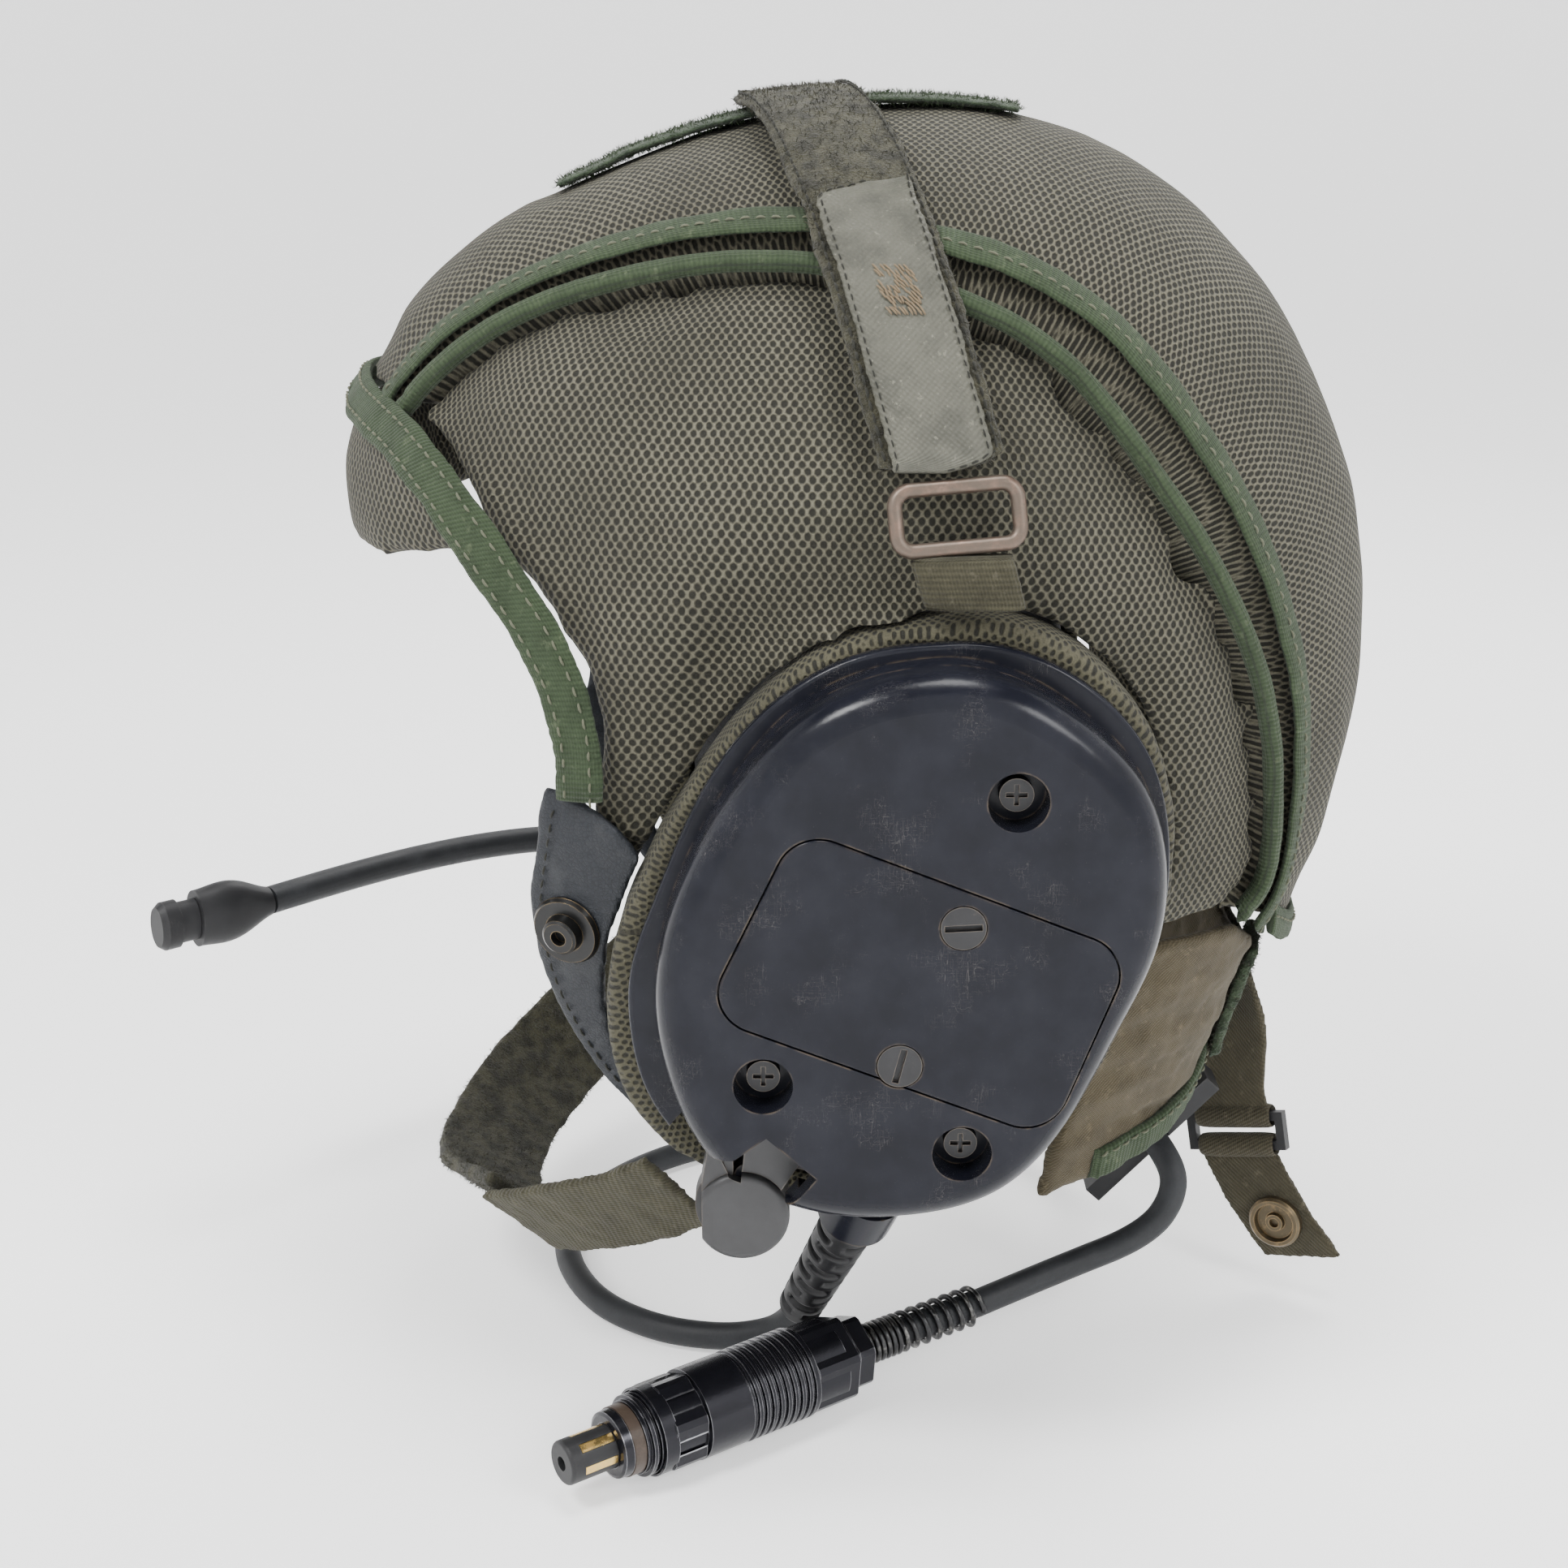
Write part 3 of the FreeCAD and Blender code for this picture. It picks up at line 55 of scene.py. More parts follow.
DOME_CENTRE = Vector((0.0, -0.008, 0.045))
PLUG_TAIL = Vector((0.0648, -0.0108, -0.120))
SPRING_TAIL = Vector((0.0480, 0.0190, -0.1178))
BOOT_TOP = Vector((0.0760, -0.0110, -0.0780))
BOOT_END = Vector((0.0540, -0.0235, -0.1155))
LINK_CENTRE = Vector((0.0080, 0.0862, -0.0922))
LINK_BAR_FROM_CENTRE = 0.0037
LOOP_RADIUS = 0.0031
HEM_HALF = 0.0042
CLING_REACH = 0.009
LOOP_HALF = 0.0099
FACE_TAPE_SPARE = 0.004
SEAM_FRONT_ANGLE, SEAM_END_ANGLE = 155, -37.5
CREST_FRONT_ANGLE, CREST_END_ANGLE = 127, 73
TOP_STRAP_ANGLE = 64
OVERLAY_TOP_ANGLE, OVERLAY_END_ANGLE = 30.2, 64.7
CLOTH_PRESSURE, CLOTH_FRAMES = 4.0, 20
LEAD_DIAMETER = 0.0065
LEAD_ROUTE = [
    (0.0540, -0.0235, -0.1155), (0.0506, -0.0258, -0.1214), (0.0482, -0.0320, -0.1259),
    (0.0472, -0.0430, -0.1276), (0.0425, -0.0590, -0.1277), (0.0290, -0.0745, -0.1277),
    (0.0040, -0.0840, -0.1277), (-0.0240, -0.0805, -0.1277), (-0.0490, -0.0600, -0.1277),
    (-0.0640, -0.0270, -0.1277), (-0.0670, 0.0080, -0.1277), (-0.0590, 0.0390, -0.1245),
    (-0.0410, 0.0560, -0.1120), (-0.0180, 0.0590, -0.0940), (0.0070, 0.0545, -0.0810),
    (0.0285, 0.0655, -0.0885), (0.0325, 0.0675, -0.0965), (0.0360, 0.0605, -0.1060),
    (0.0390, 0.0390, -0.1138), (0.0480, 0.0190, -0.1178),
]


# ---- stage
def aimed(name, data, place, target):
    """A camera or light at a place, turned towards a target."""
    thing = new_piece(name, data)
    thing.location = place
    thing.rotation_mode = "QUATERNION"
    thing.rotation_quaternion = (Vector(target) - Vector(place)).to_track_quat("-Z", "Y")
    return thing


def make_camera():
    data = bpy.data.cameras.new("camera")
    data.lens, data.sensor_width = CAMERA_LENS, CAMERA_SENSOR
    data.clip_start, data.clip_end = 0.05, 20
    bpy.context.scene.camera = aimed("camera", data, CAMERA_PLACE, CAMERA_AIM)


def make_light(name, place, size, power):
    data = bpy.data.lights.new(name, "AREA")
    data.shape = "DISK"
    data.size, data.energy = size, power
    aimed(name, data, place, LIGHT_AIM)


def make_stage():
    """A pale floor that curves up into a round backdrop, so it has no horizon from any side."""
    profile = [(0.7, 0.0), (1.3, 0.0), (1.7, 0.03), (2.0, 0.13), (2.25, 0.32), (2.4, 0.6), (2.48, 1.0),
               (2.5, 1.6), (2.5, 2.6)]
    around = 72
    turns = [2 * math.pi * k / around for k in range(around)]
    vertices = [(0.0, 0.0, FLOOR_Z)]
    for reach, rise in profile:
        vertices += [(reach * math.cos(a), reach * math.sin(a), FLOOR_Z + rise) for a in turns]
    faces = [(0, 1 + k, 1 + (k + 1) % around) for k in range(around)]
    for ring in range(len(profile) - 1):
        low, high = 1 + ring * around, 1 + (ring + 1) * around
        faces += [(low + k, high + k, high + (k + 1) % around, low + (k + 1) % around) for k in range(around)]
    floor = new_piece("floor", mesh_of("floor", vertices, faces))
    shade_smooth(floor)
    shader = Shader("floor_white")
    shader.set(Roughness=0.9, Emission_Color=(1.0, 1.0, 1.0, 1.0), Emission_Strength=STAGE_GLOW)
    shader.color(shader.mix(shader.noise(3.0, 2.0), (0.9, 0.9, 0.9), (0.93, 0.93, 0.93)))
    floor.data.materials.append(shader.material)
    world = bpy.data.worlds.new("studio")
    world.use_nodes = True
    back = world.node_tree.nodes["Background"]
    back.inputs["Color"].default_value = (1.0, 1.0, 1.0, 1.0)
    back.inputs["Strength"].default_value = WORLD_GLOW
    bpy.context.scene.world = world
    make_light("key", (0.55, -0.55, 0.95), 0.34, 13)
    make_light("fill", (0.75, 0.75, 0.7), 0.34, 6)
    make_light("top", (0.15, 0.1, 1.25), 0.5, 12)
    make_light("rim", (-0.7, 0.3, 0.8), 0.5, 6)


# ---- shader building
class Shader:
    """One node material, built from short calls. Lengths in it are millimetres."""

    def __init__(self, name):
        self.material = bpy.data.materials.new(name)
        self.material.use_nodes = True
        self.tree = self.material.node_tree
        self.bsdf = self.tree.nodes["Principled BSDF"]
        here = self.node("TexCoord").outputs["Object"]
        self.place = self.node("VectorMath", {0: here, "Scale": 1000.0}, operation="SCALE").outputs[0]
        self.normal = None

    def node(self, kind, inputs=None, **settings):
        """A new node with its settings, and its inputs fed by name or number."""
        made = self.tree.nodes.new("ShaderNode" + kind)
        for key, value in settings.items():
            setattr(made, key, value)
        for key, value in (inputs or {}).items():
            self.feed(made.inputs[key], value)
        return made

    def feed(self, socket, value):
        if isinstance(value, bpy.types.NodeSocket):
            self.tree.links.new(value, socket)
        elif isinstance(value, tuple) and len(value) == 3 and socket.type == "RGBA":
            socket.default_value = (*value, 1.0)
        else:
            socket.default_value = value

    def math(self, operation, a, b=0.0, c=0.0, clamp=False):
        return self.node("Math", {0: a, 1: b, 2: c}, operation=operation, use_clamp=clamp).outputs[0]

    def times(self, a, b):
        return self.math("MULTIPLY", a, b)

    def plus(self, a, b, clamp=False):
        return self.math("ADD", a, b, clamp=clamp)

    def minus(self, a, b):
        return self.math("SUBTRACT", a, b)

    def scaled(self, value, factor, offset):
        return self.math("MULTIPLY_ADD", value, factor, offset)

    def weave(self):
        """The lengthwise and crosswise cloth coordinate that each soft piece stores on its vertices."""
        stored = self.node("Attribute", attribute_name="weave").outputs["Vector"]
        return self.node("SeparateXYZ", {0: stored}).outputs[:2]

    def stretched(self, factors):
        return self.node("VectorMath", {0: self.place, 1: factors}, operation="MULTIPLY").outputs[0]

    def noise(self, cell_mm, detail=3.0, roughness=0.55, place=None, distortion=0.0):
        inputs = {"Vector": place or self.place, "Scale": 1.0 / cell_mm, "Detail": detail,
                  "Roughness": roughness, "Distortion": distortion}
        return self.node("TexNoise", inputs).outputs["Fac"]

    def cells(self, cell_mm, feature="F1"):
        inputs = {"Vector": self.place, "Scale": 1.0 / cell_mm}
        return self.node("TexVoronoi", inputs, feature=feature).outputs["Distance"]

    def step(self, value, low, high):
        inputs = {"Value": value, "From Min": low, "From Max": high}
        return self.node("MapRange", inputs, interpolation_type="SMOOTHSTEP").outputs["Result"]

    def mix(self, share, a, b):
        """A colour between a and b."""
        return self.node("Mix", {0: share, 6: a, 7: b}, data_type="RGBA").outputs[2]

    def blend(self, share, a, b):
        """A number between a and b."""
        return self.node("Mix", {0: share, 2: a, 3: b}, data_type="FLOAT").outputs[0]

    def sine(self, value, period_mm):
        return self.math("SINE", self.scaled(value, 2 * math.pi / period_mm, 0.0))

    def edges(self, radius_mm):
        """1 on sharp edges of the shape, 0 on flats."""
        soft = self.node("Bevel", {"Radius": radius_mm * MM}, samples=4).outputs[0]
        plain = self.node("NewGeometry").outputs["Normal"]
        alike = self.node("VectorMath", {0: soft, 1: plain}, operation="DOT_PRODUCT").outputs["Value"]
        return self.minus(1.0, alike)

    def bump(self, height, strength, distance_mm):
        inputs = {"Strength": strength, "Distance": distance_mm * MM, "Height": height}
        if self.normal is not None:
            inputs["Normal"] = self.normal
        self.normal = self.node("Bump", inputs).outputs[0]
        self.feed(self.bsdf.inputs["Normal"], self.normal)

    def color(self, value):
        self.feed(self.bsdf.inputs["Base Color"], value)

    def set(self, **values):
        for key, value in values.items():
            self.feed(self.bsdf.inputs[key.replace("_", " ")], value)


def shade(color, factor, lift=0.0):
    return tuple(c * factor + lift for c in color)


def cloth_finish(shader, roughness=0.92, sheen=0.06):
    shader.set(Roughness=roughness, Sheen_Weight=sheen, Sheen_Roughness=0.5, Specular_IOR_Level=0.25)


def mesh_fabric(name, pitch, light, dark, hole):
    """Warp-knit mesh: rows of dark round openings, each row offset by half a pitch."""
    s = Shader(name)
    u, v = s.weave()
    wobble = s.times(s.minus(s.noise(9.0), 0.5), 0.5)
    u = s.plus(s.math("DIVIDE", u, pitch), wobble)
    v = s.plus(s.math("DIVIDE", v, pitch * 1.5), wobble)
    nearest = None
    for shift in (0.0, 0.5):
        du = s.minus(s.math("FRACT", s.plus(u, shift)), 0.5)
        dv = s.minus(s.math("FRACT", s.plus(v, shift)), 0.5)
        du = s.times(du, du)
        dv = s.times(s.times(dv, dv), 1.5)
        distance = s.math("SQRT", s.plus(du, dv))
        nearest = distance if nearest is None else s.math("MINIMUM", nearest, distance)
    uneven = s.scaled(s.noise(0.9, 1.0), 0.14, -0.07)
    thread = s.step(s.plus(nearest, uneven), hole - 0.1, hole + 0.1)
    fleck = s.noise(0.35, 2.0)
    patches = s.step(s.noise(38.0, 4.0), 0.35, 0.68)
    yarn = s.mix(fleck, dark, light)
    yarn = s.mix(s.times(patches, 0.45), yarn, shade(dark, 0.62))
    backing = s.mix(fleck, (0.006, 0.006, 0.005), (0.02, 0.019, 0.013))
    s.color(s.mix(thread, backing, yarn))
    cloth_finish(s, 0.85, 0.03)
    s.bump(s.plus(thread, s.times(fleck, 0.35)), 0.9, 0.5)
    return s.material


def tape_fabric(name, light, dark, worn, rib=1.1, across=True, rib_depth=0.35, diagonal=0.0):
    """Woven tape or webbing: fine ribs one way, finer threads the other, fading and stains over it."""
    s = Shader(name)
    u, v = s.weave()
    along = s.scaled(v, diagonal, u) if across else s.scaled(u, diagonal, v)
    ribs = s.scaled(s.sine(along, rib), 0.5, 0.5)
    threads = s.scaled(s.sine(v if across else u, rib * 0.55), 0.5, 0.5)
    weave = s.scaled(threads, 0.4, s.times(ribs, 0.6))
    fuzz = s.noise(0.4, 3.0, 0.7)
    cloud = s.step(s.noise(7.0, 4.0, 0.6), 0.35, 0.7)
    rub = s.step(s.noise(3.0, 6.0, 0.7), 0.56, 0.72)
    base = s.mix(s.scaled(weave, 0.6, s.times(fuzz, 0.4)), dark, light)
    base = s.mix(s.times(cloud, 0.35), base, shade(dark, 0.6))
    s.color(s.mix(s.times(rub, 0.5), base, worn))
    cloth_finish(s)
    height = s.plus(weave, s.times(fuzz, 0.7))
    s.bump(s.noise(5.0, 3.0), 0.35, 1.0)
    s.bump(height, 0.8, rib_depth)
    return s.material


def pile_fabric(name, light, dark):
    """Brushed loop pile: a mat of short curled fibres."""
    s = Shader(name)
    loops = s.cells(0.55)
    fibres = s.noise(0.5, 6.0, 0.75, distortion=1.5)
    clump = s.step(s.noise(4.0, 4.0, 0.65), 0.36, 0.66)
    tone = s.plus(s.times(loops, 0.5), s.times(fibres, 0.6))
    s.color(s.mix(clump, s.mix(tone, dark, light), s.mix(tone, shade(dark, 0.6), dark)))
    cloth_finish(s, 1.0, 0.12)
    s.bump(clump, 0.4, 0.8)
    s.bump(tone, 1.0, 0.6)
    return s.material


def hook_fabric(name):
    """Smooth moulded hook tape: a fine grid that catches the light."""
    s = Shader(name)
    u, v = s.weave()
    grid = s.times(s.sine(u, 1.3), s.sine(v, 1.3))
    stains = s.step(s.noise(9.0, 5.0, 0.6), 0.4, 0.7)
    fluff = s.step(s.noise(1.6, 5.0, 0.7), 0.6, 0.68)
    base = s.mix(stains, (0.088, 0.087, 0.068), (0.055, 0.055, 0.043))
    s.color(s.mix(s.times(fluff, 0.5), base, (0.2, 0.195, 0.15)))
    s.set(Roughness=0.62, Specular_IOR_Level=0.3)
    s.bump(s.noise(6.0, 3.0), 0.3, 0.8)
    s.bump(s.plus(grid, s.noise(0.5, 3.0)), 0.5, 0.25)
    return s.material


def leather_skin(name, base_color, crease_color):
    s = Shader(name)
    grain = s.cells(0.9, "DISTANCE_TO_EDGE")
    wrinkles = s.noise(4.0, 6.0, 0.6, distortion=2.0)
    rubbed = s.step(s.noise(11.0, 5.0, 0.65), 0.5, 0.72)
    base = s.mix(s.step(grain, 0.0, 0.14), shade(base_color, 0.55), base_color)
    s.color(s.mix(s.times(rubbed, 0.5), base, crease_color))
    s.set(Roughness=s.scaled(wrinkles, 0.25, 0.42), Specular_IOR_Level=0.3)
    s.bump(wrinkles, 0.35, 0.8)
    s.bump(s.step(grain, 0.0, 0.2), 0.35, 0.2)
    return s.material


def moulded_plastic(name, base_color, edge_color, rough_low, rough_high, scratch=1.0, edge_radius=0.8,
                    specular=0.3):
    """Moulded plastic with a fine surface, scuffs, hair scratches, dust and rubbed edges."""
    s = Shader(name)
    smudge = s.noise(16.0, 5.0, 0.6)
    lines = []
    for k, factors in enumerate(((1.0, 0.09, 1.1), (1.0, 1.1, 0.07), (1.0, 0.55, 0.45))):
        long_noise = s.noise(0.55 + 0.3 * k, 2.0, 0.5, s.stretched(factors), 0.4)
        lines.append(s.step(s.math("ABSOLUTE", s.minus(long_noise, 0.5)), 0.006, 0.0))
    scuffs = s.times(s.math("MAXIMUM", lines[0], s.math("MAXIMUM", lines[1], lines[2])),
                    s.step(s.noise(14.0, 3.0), 0.52, 0.68))
    dust = s.step(s.noise(0.7, 5.0, 0.8), 0.63, 0.74)
    rubbed = s.times(s.step(s.edges(edge_radius), 0.02, 0.2), s.step(s.noise(4.0, 5.0), 0.4, 0.62))
    base = s.mix(s.step(smudge, 0.3, 0.75), base_color, shade(base_color, 1.5, 0.004))
    base = s.mix(s.times(scuffs, 0.4 * scratch), base, (0.13, 0.12, 0.11))
    base = s.mix(s.times(dust, 0.06), base, (0.2, 0.19, 0.17))
    s.color(s.mix(s.times(rubbed, 0.8), base, edge_color))
    rough = s.blend(smudge, rough_low, rough_high)
    rough = s.plus(rough, s.times(scuffs, 0.25 * scratch), clamp=True)
    s.set(Roughness=s.plus(rough, s.times(dust, 0.15), clamp=True), Specular_IOR_Level=specular)
    s.bump(s.noise(30.0, 2.0), 0.12, 1.5)
    s.bump(s.minus(s.noise(0.6, 3.0), scuffs), 0.10, 0.12)
    return s.material


def worn_metal(name, coat, bare, coat_rough, bare_rough, metallic_coat, wear_low, wear_high, edge_radius=0.5):
    """Coated metal that shows bare metal where it's rubbed."""
    s = Shader(name)
    patch = s.noise(2.6, 6.0, 0.65)
    edge = s.times(s.edges(edge_radius), 2.4)
    bare_share = s.step(s.plus(patch, edge), wear_low, wear_high)
    tint = s.noise(5.0, 4.0)
    dark_bare = shade(bare, 0.55)
    s.color(s.mix(bare_share, s.mix(tint, coat, shade(coat, 1.6)), s.mix(tint, bare, dark_bare)))
    s.set(Roughness=s.blend(bare_share, coat_rough, bare_rough),
          Metallic=s.blend(bare_share, metallic_coat, 1.0))
    s.bump(s.noise(0.8, 4.0), 0.25, 0.12)
    s.bump(bare_share, 0.2, 0.05)
    return s.material


def rubber_skin(name, base_color, roughness=0.62):
    s = Shader(name)
    fine = s.noise(0.5, 4.0, 0.6)
    bloom = s.step(s.noise(8.0, 5.0, 0.65), 0.45, 0.75)
    base = s.mix(fine, shade(base_color, 0.75), shade(base_color, 1.2))
    s.color(s.mix(s.times(bloom, 0.5), base, shade(base_color, 1.9, 0.01)))
    s.set(Roughness=s.scaled(bloom, 0.2, roughness - 0.1), Specular_IOR_Level=0.3)
    s.bump(s.noise(2.5, 3.0), 0.15, 0.3)
    s.bump(fine, 0.25, 0.12)
    return s.material


def thread_skin(name, base_color):
    s = Shader(name)
    twist = s.noise(0.35, 2.0, place=s.stretched((1.0, 1.0, 2.0)))
    s.color(s.mix(twist, shade(base_color, 0.6), shade(base_color, 1.3)))
    cloth_finish(s)
    s.bump(twist, 0.5, 0.15)
    return s.material


def make_materials():
    return {
        "mesh": mesh_fabric("olive_mesh", 2.1, (0.165, 0.155, 0.112), (0.062, 0.058, 0.04), 0.32),
        "fine_mesh": mesh_fabric("tan_fine_mesh", 1.75, (0.10, 0.094, 0.06), (0.04, 0.037, 0.024), 0.25),
        "binding": tape_fabric("green_binding", (0.045, 0.066, 0.032), (0.017, 0.027, 0.013),
                               (0.10, 0.12, 0.07)),
        "crest": pile_fabric("green_pile", (0.06, 0.085, 0.048), (0.022, 0.035, 0.018)),
        "pile": pile_fabric("olive_pile", (0.075, 0.071, 0.043), (0.022, 0.021, 0.013)),
        "hook": hook_fabric("grey_hook"),
        "elastic": tape_fabric("ribbed_elastic", (0.075, 0.07, 0.042), (0.026, 0.024, 0.015),
                               (0.11, 0.1, 0.07), 1.25, rib_depth=0.5),
        "webbing": tape_fabric("brown_webbing", (0.07, 0.061, 0.036), (0.024, 0.021, 0.013),
                               (0.12, 0.105, 0.07), 1.0, diagonal=0.5),
        "twill": tape_fabric("tan_twill", (0.085, 0.069, 0.039), (0.034, 0.028, 0.016),
                             (0.13, 0.108, 0.068), 0.9, diagonal=1.0, rib_depth=0.2),
        "cushion": leather_skin("black_cushion", (0.010, 0.010, 0.011), (0.03, 0.029, 0.027)),
        "leather": leather_skin("grey_leather", (0.012, 0.014, 0.018), (0.035, 0.037, 0.04)),
        "cup": moulded_plastic("cup_black", (0.0045, 0.005, 0.0085), (0.10, 0.075, 0.05), 0.14, 0.3,
                               specular=0.17),
        "black_plastic": moulded_plastic("matte_black", (0.010, 0.010, 0.011), (0.04, 0.04, 0.04), 0.4,
                                         0.6, 0.4),
        "swivel": worn_metal("swivel_grey", (0.03, 0.03, 0.031), (0.16, 0.14, 0.12), 0.42, 0.35, 0.5, 0.72,
                             1.0),
        "screw": worn_metal("dark_screw", (0.02, 0.02, 0.021), (0.2, 0.17, 0.14), 0.42, 0.4, 0.6, 0.62,
                            0.95, 0.3),
        "ring": worn_metal("worn_ring", (0.085, 0.066, 0.052), (0.27, 0.18, 0.14), 0.45, 0.4, 0.7, 0.42,
                           0.8),
        "brass": worn_metal("antique_brass", (0.07, 0.056, 0.035), (0.36, 0.25, 0.13), 0.4, 0.33, 0.8, 0.5,
                            0.85),
        "stud": worn_metal("black_stud", (0.008, 0.008, 0.008), (0.3, 0.22, 0.12), 0.3, 0.35, 0.5, 0.8,
                           1.05),
        "anodised": worn_metal("black_anodised", (0.008, 0.008, 0.011), (0.4, 0.4, 0.42), 0.24, 0.28, 0.6,
                               0.66, 0.92, 0.35),
        "spring": worn_metal("spring_steel", (0.03, 0.03, 0.031), (0.34, 0.33, 0.31), 0.32, 0.28, 0.9, 0.5,
                             0.78, 0.3),
        "gold": worn_metal("gold_contact", (0.55, 0.36, 0.12), (0.8, 0.58, 0.22), 0.3, 0.2, 1.0, 0.4, 0.6),
        "rubber": rubber_skin("lead_rubber", (0.016, 0.017, 0.019)),
        "boot": rubber_skin("boot_rubber", (0.010, 0.010, 0.011), 0.5),
        "seal": rubber_skin("brown_seal", (0.045, 0.032, 0.024), 0.45),
        "thread": thread_skin("olive_thread", (0.10, 0.105, 0.07)),
        "dark_thread": thread_skin("dark_thread", (0.02, 0.02, 0.016)),
        "tan_thread": thread_skin("tan_thread", (0.16, 0.12, 0.075)),
    }


# ---- mesh tools
def new_piece(name, mesh):
    piece = bpy.data.objects.new(name, mesh)
    bpy.context.scene.collection.objects.link(piece)
    return piece


def mesh_of(name, vertices, faces):
    mesh = bpy.data.meshes.new(name)
    mesh.from_pydata(vertices, [], faces)
    return mesh


def tube_of(name, vertices, around):
    """A closed tube: quads from ring to ring of vertices, a cap at each end, all facing outwards."""
    last = len(vertices) - around
    faces = []
    for start in range(0, last, around):
        for j in range(around):
            a, b = start + j, start + (j + 1) % around
            faces.append((a, b, b + around, a + around))
    faces += [tuple(range(around)), tuple(reversed(range(last, last + around)))]
    mesh = mesh_of(name, vertices, faces)
    bm = bmesh.new()
    bm.from_mesh(mesh)
    bmesh.ops.recalc_face_normals(bm, faces=bm.faces)
    bm.to_mesh(mesh)
    bm.free()
    return mesh


def welded(node):
    """A CAD node's mesh, its vertices joined."""
    bm = bmesh.new()
    bm.from_mesh(NODES[node].data)
    bmesh.ops.remove_doubles(bm, verts=bm.verts, dist=1e-6)
    return bm


def modify(piece, kind, **settings):
    """Adds a modifier and applies it."""
    modifier = piece.modifiers.new(kind.lower(), kind)
    for key, value in settings.items():
        setattr(modifier, key, value)
    graph = bpy.context.evaluated_depsgraph_get()
    graph.update()
    made = bpy.data.meshes.new_from_object(piece.evaluated_get(graph))
    old = piece.data
    piece.modifiers.clear()
    piece.data = made
    bpy.data.meshes.remove(old)


def softened(name, node, voxel_mm, times=3):
    """A piece in a CAD node's shape, remeshed, with its edges smoothed round."""
    bm = welded(node)
    mesh = bpy.data.meshes.new(node + "_copy")
    bm.to_mesh(mesh)
    bm.free()
    piece = new_piece(name, mesh)
    modify(piece, "REMESH", mode="VOXEL", voxel_size=voxel_mm * MM)
    modify(piece, "SMOOTH", factor=0.5, iterations=times)
    return piece


def rows(mesh, key):
    """The place ("co") or "normal" of each vertex."""
    values = np.empty(len(mesh.vertices) * 3)
    mesh.vertices.foreach_get(key, values)
    return values.reshape(-1, 3)


def put_places(piece, co):
    piece.data.vertices.foreach_set("co", co.ravel())
    piece.data.update()


def push(piece, amount):
    """Moves each vertex along its normal by amount(place), in millimetres."""
    co = rows(piece.data, "co")
    steps = np.array([amount(Vector(p)) for p in co]) * MM
    put_places(piece, co + rows(piece.data, "normal") * steps[:, None])


def tree_of(*names):
    """A search tree over the triangles of CAD nodes or pieces."""
    points, faces = [], []
    for name in names:
        mesh = (NODES[name] if isinstance(name, str) else name).data
        start = len(points)
        points += [v.co.copy() for v in mesh.vertices]
        faces += [[start + i for i in p.vertices] for p in mesh.polygons]
    return BVHTree.FromPolygons(points, faces)


def inflate(piece, cap):
    """Blows the piece up as cloth, then lets no vertex move further than cap(place) millimetres."""
    start = rows(piece.data, "co")
    limits = np.array([cap(Vector(p)) for p in start]) * MM
    cloth = piece.modifiers.new("cloth", "CLOTH")
    cloth.settings.use_pressure = True
    cloth.settings.uniform_pressure_force = CLOTH_PRESSURE
    cloth.settings.quality = 4
    cloth.settings.effector_weights.gravity = 0.0
    cloth.collision_settings.use_collision = False
    cloth.point_cache.frame_start, cloth.point_cache.frame_end = 1, CLOTH_FRAMES
    for k in range(1, CLOTH_FRAMES + 1):
        bpy.context.scene.frame_set(k)
    graph = bpy.context.evaluated_depsgraph_get()
    moved = rows(piece.evaluated_get(graph).to_mesh(), "co")
    piece.evaluated_get(graph).to_mesh_clear()
    piece.modifiers.clear()
    bpy.context.scene.frame_set(1)
    step = moved - start
    length = np.linalg.norm(step, axis=1)
    share = np.minimum(1.0, limits / np.maximum(length, 1e-9))
    put_places(piece, start + step * share[:, None])


def store_weave(piece, formula):
    """Stores the cloth coordinate of each vertex, in millimetres, for the weave of its material."""
    values = [formula(v.co) for v in piece.data.vertices]
    layer = piece.data.attributes.new("weave", "FLOAT_VECTOR", "POINT")
    layer.data.foreach_set("vector", np.array(values, dtype=float).ravel())


def shade_smooth(piece):
    piece.data.polygons.foreach_set("use_smooth", [True] * len(piece.data.polygons))


def dress(piece, body, slot, material, *nodes):
    """Shades a finished piece smooth, gives it its material and its body, and hides the CAD nodes that it
    stands for.
    """
    shade_smooth(piece)
    piece.data.materials.clear()
    piece.data.materials.append(MATERIALS[material])
    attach(piece, body)
    if nodes:
        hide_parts(*nodes)
    return piece


class Station:
    """One cross-section of a strap: its middle on the outer face, its directions and its half width."""

    def __init__(self, middle, across, normal, half):
        self.middle, self.across, self.normal, self.half = middle, across, normal, half
        self.along = across.cross(normal).normalized()

    def at(self, share, height_mm=0.0):
        return self.middle + self.across * (self.half * share) + self.normal * (height_mm * MM)


def island_tree(node, keep):
    """A search tree over those separate lumps of a CAD node that keep(lowest, highest corner) accepts."""
    bm = welded(node)
    seen, drop = set(), []
    for first in bm.verts:
        if first in seen:
            continue
        lump, queue = [], [first]
        seen.add(first)
        while queue:
            vert = queue.pop()
            lump.append(vert)
            for edge in vert.link_edges:
                other = edge.other_vert(vert)
                if other not in seen:
                    seen.add(other)
                    queue.append(other)
        low = Vector([min(v.co[k] for v in lump) for k in range(3)])
        high = Vector([max(v.co[k] for v in lump) for k in range(3)])
        if not keep(low, high):
            drop += lump
    bmesh.ops.delete(bm, geom=drop, context="VERTS")
    tree = BVHTree.FromBMesh(bm)
    bm.free()
    return tree


